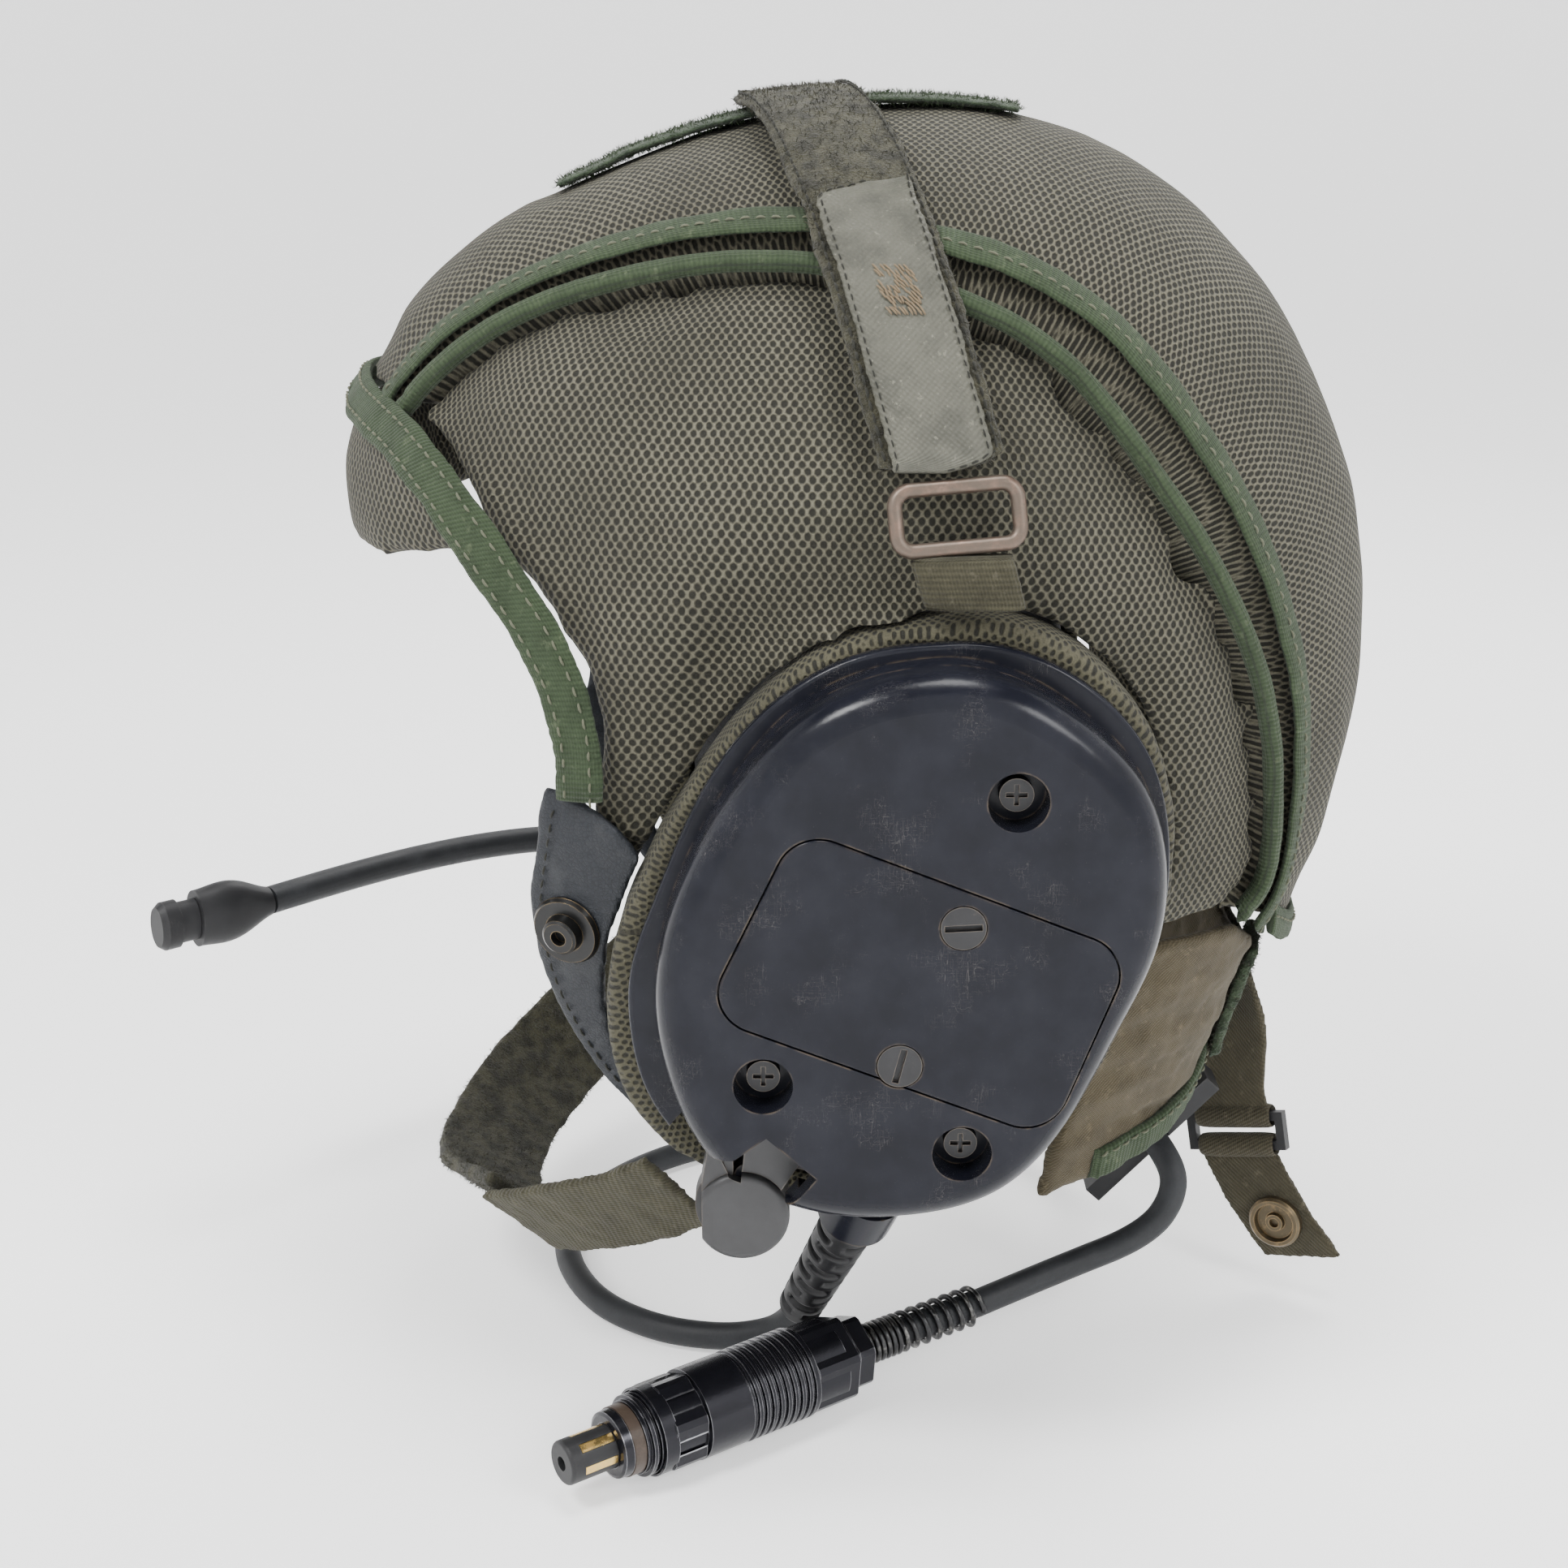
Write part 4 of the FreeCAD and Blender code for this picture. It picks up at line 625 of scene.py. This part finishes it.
def scan(tree, keys, offsets, ray):
    """Stations of a strap: at each key, rays side by side find its two edges and its outer face."""
    stations = []
    for key in keys:
        hits = []
        for offset in offsets:
            start, direction = ray(key, offset)
            point, normal = None, None
            while True:
                found, face_normal, _, _ = tree.ray_cast(start, direction)
                if found is None:
                    break
                point, normal = found, face_normal
                start = found + direction * 1e-5
            if point is not None:
                hits.append((point, normal))
        if len(hits) < 3:
            continue
        first, last = hits[0][0], hits[-1][0]
        normal = sum((n for _, n in hits[1:-1]), Vector()).normalized()
        across = (last - first).normalized()
        normal = (normal - across * normal.dot(across)).normalized()
        middle = hits[len(hits) // 2][0]
        middle += across * ((first + last) / 2 - middle).dot(across)
        stations.append(Station(middle, across, normal, (last - first).length / 2))
    return even(stations)


def even(stations):
    """Takes the raggedness out of scanned stations."""
    smooth, reach = [], 3
    for k, here in enumerate(stations):
        near = stations[max(0, k - reach):k + reach + 1]
        if k < reach or k >= len(stations) - reach:
            near = [here]
        middle = sum((s.middle for s in near), Vector()) / len(near)
        across = sum((s.across for s in near), Vector()).normalized()
        normal = sum((s.normal for s in near), Vector())
        normal = (normal - across * normal.dot(across)).normalized()
        smooth.append(Station(middle, across, normal, sum(s.half for s in near) / len(near)))
    return smooth


def span(first, last, count):
    return [first + (last - first) * k / (count - 1) for k in range(count)]


def swept(name, stations, thickness_mm, roundness=5.0, ripple_mm=0.35, fray_mm=0.35, lift_mm=0.0, width=1.0,
          seed=0.0):
    """A strap through the stations, flat or as round as a cord, with small ripples and an uneven edge."""
    half_loop = 12
    shares = [-math.cos(math.pi * k / half_loop) for k in range(half_loop + 1)]
    loop = [(c, 1) for c in shares] + [(c, -1) for c in reversed(shares[1:-1])]
    back_face_mm = 40
    shift = Vector((seed, 0, 0))
    vertices, weave = [], []
    length = 0.0
    for k, station in enumerate(stations):
        if k:
            length += (station.middle - stations[k - 1].middle).length / MM
        for c, side in loop:
            body = (1.0 - abs(c) ** roundness) ** 0.5 if abs(c) < 1 else 0.0
            height = thickness_mm / 2 * (side * body - 1.0) + lift_mm
            reach = station.half * width
            ground = station.middle + station.across * (reach * c)
            hand = 1 if c > 0 else -1
            wave = noise.noise(ground * 90 + shift) * ripple_mm
            wave += noise.noise(ground * 320 + shift) * ripple_mm * 0.4
            edge = noise.noise(Vector((length * 0.09, 7.0 * hand, seed))) * fray_mm
            edge += noise.noise(Vector((length * 0.6, 3.0 * hand, seed))) * fray_mm * 0.5
            out = station.normal * ((height + wave) * MM)
            vertices.append(ground + station.across * (edge * c * MM) + out)
            weave.append((length, c * reach / MM + (0 if side > 0 else back_face_mm), 0.0))
    mesh = tube_of(name, vertices, len(loop))
    layer = mesh.attributes.new("weave", "FLOAT_VECTOR", "POINT")
    layer.data.foreach_set("vector", np.array(weave, dtype=float).ravel())
    return new_piece(name, mesh)


def tape(name, nodes, stations, *shape, slot="binding", material="binding", body="harness", **more):
    """A swept strap, dressed. It stands for the CAD nodes, if any."""
    return dress(swept(name, stations, *shape, **more), body, slot, material, *nodes)


def add_capsule(bm, start, end, radius, out):
    """A short stitch: a six-sided thread that dips at both ends."""
    along = (end - start).normalized()
    side = along.cross(out).normalized()
    rings = []
    for share, size in ((0.0, 0.35), (0.2, 0.95), (0.5, 1.0), (0.8, 0.95), (1.0, 0.35)):
        middle = start.lerp(end, share) + out * (radius * (1.1 * math.sin(math.pi * share) - 0.5))
        rings.append([bm.verts.new(middle + (side * math.cos(a) + out * math.sin(a)) * radius * size)
                      for a in (math.pi / 3 * k for k in range(6))])
    for low, high in zip(rings, rings[1:]):
        for k in range(6):
            bm.faces.new((low[k], low[(k + 1) % 6], high[(k + 1) % 6], high[k]))
    bm.faces.new(list(reversed(rings[0])))
    bm.faces.new(rings[-1])


class Stitches:
    """Rows of thread, gathered into one piece."""

    def __init__(self, seed):
        self.bm = bmesh.new()
        self.random = random.Random(seed)

    def row(self, points, outs, pitch_mm=3.0, length_mm=2.1, radius_mm=0.28):
        """Stitches at even steps along a line of places with outward directions."""
        travelled, due = 0.0, pitch_mm * self.random.random()
        for k in range(1, len(points)):
            step = points[k] - points[k - 1]
            size = step.length / MM
            while due <= travelled + size and size > 0:
                share = (due - travelled) / size
                middle = points[k - 1].lerp(points[k], share)
                along = step.normalized()
                jitter = Vector([self.random.uniform(-0.06, 0.06) for _ in range(3)])
                half = (along + jitter) * (length_mm * MM / 2)
                add_capsule(self.bm, middle - half, middle + half, radius_mm * MM, outs[k])
                due += pitch_mm
            travelled += size

    def beside(self, stations, share, height_mm, **sizes):
        """A row that keeps to one share of a strap's half width."""
        self.row([s.at(share, height_mm) for s in stations], [s.normal for s in stations], **sizes)

    def piece(self, name, slot, material):
        mesh = bpy.data.meshes.new(name)
        bmesh.ops.recalc_face_normals(self.bm, faces=self.bm.faces)
        self.bm.to_mesh(mesh)
        self.bm.free()
        dress(new_piece(name, mesh), "harness", slot, material)


def fuzz(piece, name, count, length_mm, seed, slot, material):
    """Loose curled fibres that stand out of a brushed surface."""
    rng = random.Random(seed)
    mesh = piece.data
    weights = [p.area for p in mesh.polygons]
    vertices, triangles = [], []
    for polygon in rng.choices(list(mesh.polygons), weights, k=count):
        corners = [mesh.vertices[i].co for i in polygon.vertices]
        near = corners[0].lerp(corners[1], rng.random())
        root = near.lerp(corners[2].lerp(corners[-1], rng.random()), rng.random())
        lean = Vector([rng.uniform(-1, 1) for _ in range(3)])
        up = (polygon.normal + lean * 0.9).normalized()
        size = length_mm * MM * rng.uniform(0.4, 1.2)
        side = up.cross(Vector([rng.uniform(-1, 1) for _ in range(3)])).normalized() * (0.07 * MM)
        bend = lean.cross(up) * size * 0.5
        first = len(vertices)
        middle = root + up * size * 0.6 + bend * 0.3
        tip = root + up * size + bend
        vertices += [root - side, root + side, middle + side, middle - side, tip]
        triangles += [(first, first + 1, first + 2, first + 3), (first + 3, first + 2, first + 4)]
    dress(new_piece(name, mesh_of(name, vertices, triangles)), "harness", slot, material)


# ---- cloth coordinates
def crown_weave(p):
    y, z = (p.y - DOME_CENTRE.y) / MM, (p.z - DOME_CENTRE.z) / MM
    return math.atan2(z, y) * 115.0, math.asin(max(-0.99, min(0.99, p.x / 0.098))) * 98.0, 0.0


def side_weave(p):
    y, z = (p.y - DOME_CENTRE.y) / MM, (p.z - DOME_CENTRE.z) / MM
    out = math.hypot(y, z)
    arc = math.atan2(out, abs(p.x) / MM * 1.2) * 112.0
    return y / max(out, 1e-6) * arc, z / max(out, 1e-6) * arc, 0.0


def brow_weave(p):
    return math.atan2(p.x, -p.y) * 118.0, p.z / MM, 0.0


def pocket_weave(p):
    angle = math.atan2(p.z + 0.006, p.y + 0.003)
    return angle * 62.0, math.hypot(p.z + 0.006, p.y + 0.003) / MM + abs(p.x) / MM, 0.0


def flap_weave(p):
    return math.atan2(p.x, p.y) * 80.0, p.z / MM * 1.15, 0.0


# ---- the soft helmet
def pinch_cap(tree, near_mm, far_mm, reach_mm):
    """How far cloth may rise: little beside a seam or under a strap, more out on the open panel."""
    def cap(p):
        _, _, _, distance = tree.find_nearest(p)
        share = min(1.0, (distance or 0.0) / (reach_mm * MM))
        share = share * share * (3 - 2 * share)
        return near_mm + (far_mm - near_mm) * share
    return cap


def folds(size_mm, depth_mm, seed, stretch=(1.0, 1.0, 1.0)):
    """Soft irregular hollows, as in cloth over thin padding."""
    def amount(p):
        q = Vector((p.x * stretch[0], p.y * stretch[1], p.z * stretch[2])) / (size_mm * MM)
        coarse, fine = noise.noise(q + Vector((seed, 0, 0))), noise.noise(q * 2.3 + Vector((0, seed, 0)))
        return depth_mm * (coarse + 0.4 * fine)
    return amount


def cling(piece, tree):
    """Draws the cloth close to a tape that is sewn over its edge, so that little gap is left beside it."""
    co = rows(piece.data, "co")
    for k, p in enumerate(co):
        near, _, _, distance = tree.find_nearest(Vector(p), CLING_REACH)
        if near is not None:
            co[k] = np.array(near) + (p - np.array(near)) * max(distance / CLING_REACH, 0.12)
    put_places(piece, co)


def pad_piece(name, node, voxel_mm, sink_mm, cap, weave, material="mesh", slot="mesh_fabric",
              extra=None, sewn=None):
    """A padded panel: the CAD solid remeshed, drawn in a little, blown up as cloth, then creased."""
    piece = softened(name, node, voxel_mm, 4)
    push(piece, lambda p: -sink_mm)
    inflate(piece, cap)
    if extra:
        push(piece, extra)
    if sewn:
        cling(piece, sewn)
    modify(piece, "SUBSURF", levels=1, render_levels=1)
    store_weave(piece, weave)
    dress(piece, "harness", slot, material, node)
    return piece


def pad_twin(piece, name, node, material, slot):
    """The same padded panel on the right-hand side."""
    mesh = piece.data.copy()
    mesh.transform(Matrix.Scale(-1, 4, Vector((1, 0, 0))))
    mesh.flip_normals()
    twin = dress(new_piece(name, mesh), "harness", slot, material, node)


def make_panels():
    tapes = ["face_binding", "rear_binding"]
    seams = tree_of("seam_piping_left", "seam_piping_right", "top_strap", "crest_strip", "rear_binding",
                    "face_binding")
    pad_piece("crown_cloth", "crown_panel", 4.0, 1.2, pinch_cap(seams, 0.6, 5.0, 26.0), crown_weave,
              extra=folds(34.0, 0.9, 3.0), sewn=tree_of(*tapes))
    left_seams = tree_of("seam_piping_left", "face_binding", "top_strap", "ear_pocket_left",
                         "cheek_patch_left", "rear_binding")
    left = pad_piece("side_cloth_left", "side_panel_left", 3.5, 1.0, pinch_cap(left_seams, 0.4, 5.0, 24.0),
                     side_weave, extra=folds(28.0, 1.3, 8.0, (1.0, 1.3, 0.8)),
                     sewn=tree_of(*tapes, "ear_pocket_left", "cheek_patch_left"))
    pad_twin(left, "side_cloth_right", "side_panel_right", "mesh", "mesh_fabric")
    bands = tree_of("face_binding")
    pad_piece("brow_cloth", "brow_pad", 3.0, 0.8, pinch_cap(bands, 0.4, 3.0, 18.0), brow_weave,
              extra=folds(22.0, 0.7, 5.0), sewn=bands)
    cup = tree_of("cup_shell_left")
    pocket = pad_piece("pocket_cloth_left", "ear_pocket_left", 2.5, 0.5, pinch_cap(cup, 0.2, 1.6, 9.0),
                       pocket_weave, "fine_mesh", "knit", extra=folds(13.0, 0.6, 2.0))
    pad_twin(pocket, "pocket_cloth_right", "ear_pocket_right", "fine_mesh", "knit")
    pad_piece("liner_cloth", "liner_pads", 3.5, 0.3, lambda p: 0.8, side_weave)
    for side in ("left", "right"):
        pad_piece("seal_" + side, "ear_cushion_" + side, 2.5, 0.6, lambda p: 1.2, pocket_weave,
                  "cushion", "cushion", extra=folds(9.0, 0.5, 4.0))


def arch_ray(angle, y):
    """From the dome's axis outwards at an angle from the top, for straps that cross over the head."""
    return Vector((0, y, DOME_CENTRE.z)), Vector((math.sin(angle), 0, math.cos(angle)))


def side_ray(angle, x):
    """From the dome's middle plane outwards at an angle in the side view."""
    return Vector((x, DOME_CENTRE.y, DOME_CENTRE.z)), Vector((0, math.cos(angle), math.sin(angle)))


def brow_ray(angle, y):
    return Vector((0, y, 0.020)), Vector((math.cos(angle), 0, math.sin(angle)))


def nape_ray(angle, z):
    return Vector((0, 0, z)), Vector((math.sin(angle), math.cos(angle), 0))


def across_ray(z, y):
    return Vector((0, y, z)), Vector((1, 0, 0))


def turned_round(stations):
    """The same stations on the right-hand side."""
    made = []
    for s in stations:
        middle, across, normal = (Vector((-v.x, v.y, v.z)) for v in (s.middle, s.across, s.normal))
        made.append(Station(middle, across, normal, s.half))
    return made


def longer(stations, extra):
    """The same strap, with its two ends run on straight by extra metres."""
    first, last = stations[0], stations[-1]
    ahead = (stations[1].middle - first.middle).normalized() * extra
    behind = (last.middle - stations[-2].middle).normalized() * extra
    start = Station(first.middle - ahead, first.across, first.normal, first.half)
    end = Station(last.middle + behind, last.across, last.normal, last.half)
    return [start] + stations + [end]


def both_sides(stations):
    return ("left", stations), ("right", turned_round(stations))


def make_tapes():
    green = Stitches(12)
    low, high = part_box("face_binding")
    line = scan(tree_of("face_binding"), span(0.05, math.pi - 0.05, 260), span(low.y, high.y, 90), brow_ray)
    line = longer(line, FACE_TAPE_SPARE)
    tape("face_tape", ["face_binding"], line, 2.6, 4.0, 0.5, 0.5, width=1.06, seed=1.0)
    for share in (-0.55, 0.62):
        green.beside(line, share, 0.12, pitch_mm=3.4)
    low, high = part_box("rear_binding")
    line = scan(tree_of("rear_binding"), span(-0.52, 0.52, 160), span(low.z, high.z, 90), nape_ray)
    tape("rear_tape", ["rear_binding"], line, 2.0, 4.0, 0.4, 0.5, seed=2.0)
    green.beside(line, 0.3, 0.1, pitch_mm=3.4)
    low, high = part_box("seam_piping_left")
    outer = island_tree("seam_piping_left", lambda a, b: b.x < high.x - 0.001)
    inner = island_tree("seam_piping_left", lambda a, b: b.x > high.x - 0.001)
    keys = span(math.radians(SEAM_FRONT_ANGLE), math.radians(SEAM_END_ANGLE), 260)
    across = span(low.x, high.x, 120)
    lips, cords = (both_sides(scan(lump, keys, across, side_ray)) for lump in (outer, inner))
    for (side, lip), (_, cord) in zip(lips, cords):
        tape("seam_tape_" + side, ["seam_piping_" + side], lip, 2.2, 3.0, 0.35, 0.3, seed=3.0, width=1.42)
        tape("seam_cord_" + side, [], cord, 4.4, 2.0, 0.2, 0.1, seed=4.0, width=1.35)
        green.beside(lip, 0.35, 0.1, pitch_mm=3.2)
    keys = span(math.radians(CREST_FRONT_ANGLE), math.radians(CREST_END_ANGLE), 90)
    line = scan(tree_of("crest_strip"), keys, span(-0.013, 0.013, 40), side_ray)
    crest = tape("crest_tape", ["crest_strip"], line, 1.8, 6.0, 0.4, 0.9, seed=5.0, material="crest")
    fuzz(crest, "crest_fibres", 5000, 1.3, 21, "binding", "binding")
    green.piece("binding_stitches", "binding", "thread")


def make_straps():
    threads, tan = Stitches(31), Stitches(32)
    low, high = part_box("top_strap")
    reach = math.radians(TOP_STRAP_ANGLE)
    line = scan(tree_of("top_strap"), span(-reach, reach, 300), span(low.y, high.y, 140), arch_ray)
    strap = tape("top_strap_pile", ["top_strap"], line, 2.4, 6.0, 0.6, 0.8, seed=6.0, slot="pile",
                 material="pile")
    fuzz(strap, "top_strap_fibres", 14000, 1.1, 22, "pile", "pile")
    for share in (-0.88, 0.88):
        threads.beside(line, share, 0.15, pitch_mm=2.6)
    low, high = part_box("strap_overlays")
    left = island_tree("strap_overlays", lambda a, b: b.x > 0)
    keys = span(math.radians(OVERLAY_TOP_ANGLE), math.radians(OVERLAY_END_ANGLE), 110)
    for side, line in both_sides(scan(left, keys, span(low.y, high.y, 120), arch_ray)):
        tape("hook_tape_" + side, ["strap_overlays"] if side == "left" else [], line, 1.7, 7.0, 0.45, 0.8,
             seed=7.0, slot="hook_tape", material="hook")
        for share in (-0.9, 0.9):
            threads.beside(line, share, 0.1, pitch_mm=2.4, length_mm=1.6, radius_mm=0.2)
        bar_tack(tan, line[36:56])
    low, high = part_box("cup_straps")
    left = island_tree("cup_straps", lambda a, b: b.x > 0)
    keys = span(high.z - 0.001, low.z + 0.0008, 40)
    for side, line in both_sides(scan(left, keys, span(low.y, high.y, 80), across_ray)):
        tape("elastic_loop_" + side, ["cup_straps"] if side == "left" else [], line, 2.6, 6.0, 0.25, 0.3,
             seed=8.0, slot="elastic", material="elastic")
    threads.piece("strap_stitches", "pile", "dark_thread")
    tan.piece("bar_tacks", "pile", "tan_thread")


def bar_tack(stitches, stations):
    """A dense box of zigzag thread, partly pulled."""
    rng = random.Random(5)
    for row in range(9):
        share = -0.34 + 0.085 * row
        for k in range(0, len(stations) - 3, 2):
            if rng.random() < 0.22:
                continue
            a = stations[k].at(share + rng.uniform(-0.03, 0.03), 0.12)
            b = stations[k + 3].at(share + 0.09 + rng.uniform(-0.04, 0.04), 0.12)
            add_capsule(stitches.bm, a, b, 0.24 * MM, stations[k].normal)


def strap_copy(name, node, voxel_mm, weave, body, slot, material, ripple):
    """A loose strap or patch in its CAD node's shape, with softened edges and a ripple."""
    piece = softened(name, node, voxel_mm)
    push(piece, ripple)
    store_weave(piece, weave)
    return dress(piece, body, slot, material, node)


def chin_weave(p):
    return math.atan2(p.x, -p.y) * 100.0, p.z / MM, 0.0


def tab_weave(p):
    return p.z / MM, p.x / MM, 0.0


def nape_weave(p):
    return p.z / MM, (p.x + p.y) / MM, 0.0


def make_loose_straps():
    ripple = folds(6.0, 0.5, 9.0)
    pile = strap_copy("chin_pile_strap", "chin_strap_right", 1.0, chin_weave, "harness", "pile", "pile",
                      ripple)
    fuzz(pile, "chin_fibres", 9000, 1.1, 23, "pile", "pile")
    strap_copy("chin_tab", "chin_strap_left", 0.8, chin_weave, "harness", "webbing", "elastic", ripple)
    nape = strap_copy("nape_pile_tab", "nape_tab", 0.9, tab_weave, "harness", "pile", "crest", ripple)
    fuzz(nape, "nape_tab_fibres", 2500, 1.0, 24, "pile", "pile")
    strap_copy("nape_webbing", "nape_strap_upper", 0.7, nape_weave, "nape_strap", "webbing", "webbing",
               folds(7.0, 0.3, 2.0))
    strap_copy("nape_webbing_end", "nape_strap_lower", 0.7, nape_weave, "nape_end", "webbing", "webbing",
               folds(7.0, 0.3, 3.0))


def make_link_loops():
    """The webbing's two sewn loops, one round each long bar of the nape link."""
    wide = Vector((0.50, 0.83, 0.24)).normalized()
    down = Vector((0.28, 0.20, -0.94))
    down = (down - wide * down.dot(wide)).normalized()
    out = wide.cross(down)
    for name, sign, body in (("upper", -1, "nape_strap"), ("lower", 1, "nape_end")):
        bar = LINK_CENTRE + down * (sign * LINK_BAR_FROM_CENTRE)
        stations = []
        for k in range(33):
            angle = 2 * math.pi * k / 32
            radial = down * math.cos(angle) + out * math.sin(angle)
            stations.append(Station(bar + radial * LOOP_RADIUS, wide, radial, LOOP_HALF))
        tape("link_loop_" + name, [], stations, 1.2, 6.0, 0.12, 0.15, seed=9.0, slot="webbing",
             material="webbing", body=body)


def make_flap():
    flap = softened("nape_twill", "nape_flap", 1.6)
    push(flap, folds(9.0, 1.1, 6.0, (0.5, 0.5, 1.6)))
    push(flap, folds(3.5, 0.35, 7.0))
    store_weave(flap, flap_weave)
    dress(flap, "harness", "twill", "twill", "nape_flap")
    line = scan(tree_of("nape_flap"), span(-0.97, 0.97, 200), span(-0.084, -0.015, 120), nape_ray)
    edge = [Station(s.at(-1 + HEM_HALF / s.half), s.across, s.normal, HEM_HALF) for s in line]
    hem = tape("nape_hem", [], edge, 2.6, 6.0, 0.5, 0.5, lift_mm=0.9, seed=10.0)
    stitches = Stitches(51)
    stitches.beside(edge, 0.7, 1.0, pitch_mm=3.0)
    stitches.piece("hem_stitches", "binding", "thread")


def make_cheeks():
    stitches = Stitches(41)
    for side in ("left", "right"):
        strap_copy("cheek_leather_" + side, "cheek_patch_" + side, 1.1, lambda p: (p.y / MM, p.z / MM, 0.0),
                   "harness", "leather", "leather", folds(10.0, 0.5, 3.0))
    low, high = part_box("cheek_patch_left")
    tree = tree_of("cheek_patch_left")
    line = scan(tree, span(high.z - 0.004, low.z + 0.006, 130), span(low.y, high.y, 110), across_ray)
    for stations in (line, turned_round(line)):
        front = [s.at(-1 + 0.0028 / s.half, 0.35) for s in stations]
        stitches.row(front, [s.normal for s in stations], pitch_mm=3.4)
    stitches.piece("cheek_stitches", "leather", "dark_thread")


# ---- lead, boot, spring
def make_lead():
    curve = bpy.data.curves.new("lead_cord", "CURVE")
    curve.dimensions = "3D"
    spline = curve.splines.new("NURBS")
    spline.points.add(len(LEAD_ROUTE) - 1)
    for point, place in zip(spline.points, LEAD_ROUTE):
        point.co = (*place, 1.0)
    spline.order_u = 3
    spline.use_endpoint_u = True
    spline.resolution_u = 24
    curve.bevel_depth = LEAD_DIAMETER / 2
    curve.bevel_resolution = 10
    curve.use_fill_caps = True
    cord = new_piece("lead_cord", curve)
    curve.materials.append(MATERIALS["rubber"])
    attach(cord, "harness")
    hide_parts("lead")
    return cord


def clamp(value):
    return max(0.0, min(1.0, value))


def axis_frame(start, end):
    """The direction from start to end, two directions square to it, and the distance in millimetres."""
    axis = end - start
    length = axis.length / MM
    axis.normalize()
    side = axis.orthogonal().normalized()
    return axis, side, axis.cross(side).normalized(), length


def make_boot():
    """The ribbed boot: rings cut by short slots, each row of slots turned by half a step."""
    axis, side, up, length = axis_frame(BOOT_TOP, BOOT_END)
    rings, around, ribs = 150, 72, 9
    hidden, root_radius, taper = 6.0, 6.5, 1.4
    ribbed_from, ribbed_to = 6.0, length - 2.5
    pitch = (ribbed_to - ribbed_from) / ribs
    slot_half, slot_depth, rounded = 0.28, 1.7, 1.2
    vertices = []
    for k in range(rings + 1):
        d = -hidden + (length + hidden) * k / rings
        row, share = divmod((d - ribbed_from) / pitch, 1.0)
        groove = clamp(4.0 * (slot_half - abs(share - 0.5)) / slot_half)
        for j in range(around):
            angle = 2 * math.pi * j / around
            radius = root_radius - taper * max(0.0, d) / length
            if ribbed_from < d < ribbed_to:
                bridge = math.cos(3 * angle + math.pi * (row % 2))
                radius -= slot_depth * groove * clamp(2.5 * (0.72 - bridge))
            if d > length - rounded:
                radius -= (d - length + rounded) * 0.8
            ring = side * math.cos(angle) + up * math.sin(angle)
            vertices.append(BOOT_TOP + axis * (d * MM) + ring * (radius * MM))
    boot = new_piece("strain_relief", tube_of("boot", vertices, around))
    return dress(boot, "harness", "rubber", "boot", "lead_boot")


def make_spring():
    """A coil spring round the lead: close coils at the plug, open coils behind."""
    axis, side, up, length = axis_frame(PLUG_TAIL, SPRING_TAIL)
    wire, coil, close_pitch, open_pitch = 0.68, 4.15, 1.5, 3.1
    line, d, angle = [], -2.0, 0.0
    steps = 26
    while d < length - 1.0:
        pitch = close_pitch if d < 10 else min(open_pitch, close_pitch + (d - 10) * 0.35)
        out = side * math.cos(angle) + up * math.sin(angle)
        line.append(PLUG_TAIL + axis * (d * MM) + out * (coil * MM))
        angle += 2 * math.pi / steps
        d += pitch / steps
    around = 10
    vertices = []
    for k, place in enumerate(line):
        along = (line[min(k + 1, len(line) - 1)] - line[max(k - 1, 0)]).normalized()
        out = (place - PLUG_TAIL) - axis * (place - PLUG_TAIL).dot(axis)
        out = (out - along * out.dot(along)).normalized()
        other = along.cross(out)
        vertices += [place + (out * math.cos(a) + other * math.sin(a)) * (wire * MM)
                     for a in (2 * math.pi * j / around for j in range(around))]
    spring = new_piece("plug_coil", tube_of("spring", vertices, around))
    return dress(spring, "harness", "spring", "spring", "plug_spring")


def make_cords():
    cord, boot, coil = make_lead(), make_boot(), make_spring()


# ---- hard parts
def pairs(*names):
    return [name + side for name in names for side in ("_left", "_right")]


HARD_PARTS = {
    "cup": pairs("cup_shell", "cup_cover", "access_cover") + ["lead_gland"],
    "screw": pairs("coin_screw_upper", "coin_screw_lower") + ["cover_screws"],
    "swivel": pairs("boom_swivel"),
    "ring": ["strap_rings"],
    "brass": ["nape_snap"],
    "stud": ["cheek_studs"],
    "black_plastic": ["receivers", "baffle_plates", "nape_link", "boom_hub", "mic_housing", "mic_capsule",
                      "lead_clip", "probe"],
    "rubber": ["boom_arm", "lead_core"],
    "anodised": ["gland_nut", "plug_body", "coupling_nut"],
    "seal": ["seal_ring"],
    "gold": ["contacts"],
}


def finish_hard_parts():
    for material, nodes in HARD_PARTS.items():
        for node in nodes:
            slots = NODES[node].data.materials
            slots.clear()
            slots.append(MATERIALS[material])


make_camera()
MATERIALS = make_materials()
make_stage()
make_cords()
make_panels()
make_tapes()
make_straps()
make_loose_straps()
make_link_loops()
make_flap()
make_cheeks()
finish_hard_parts()
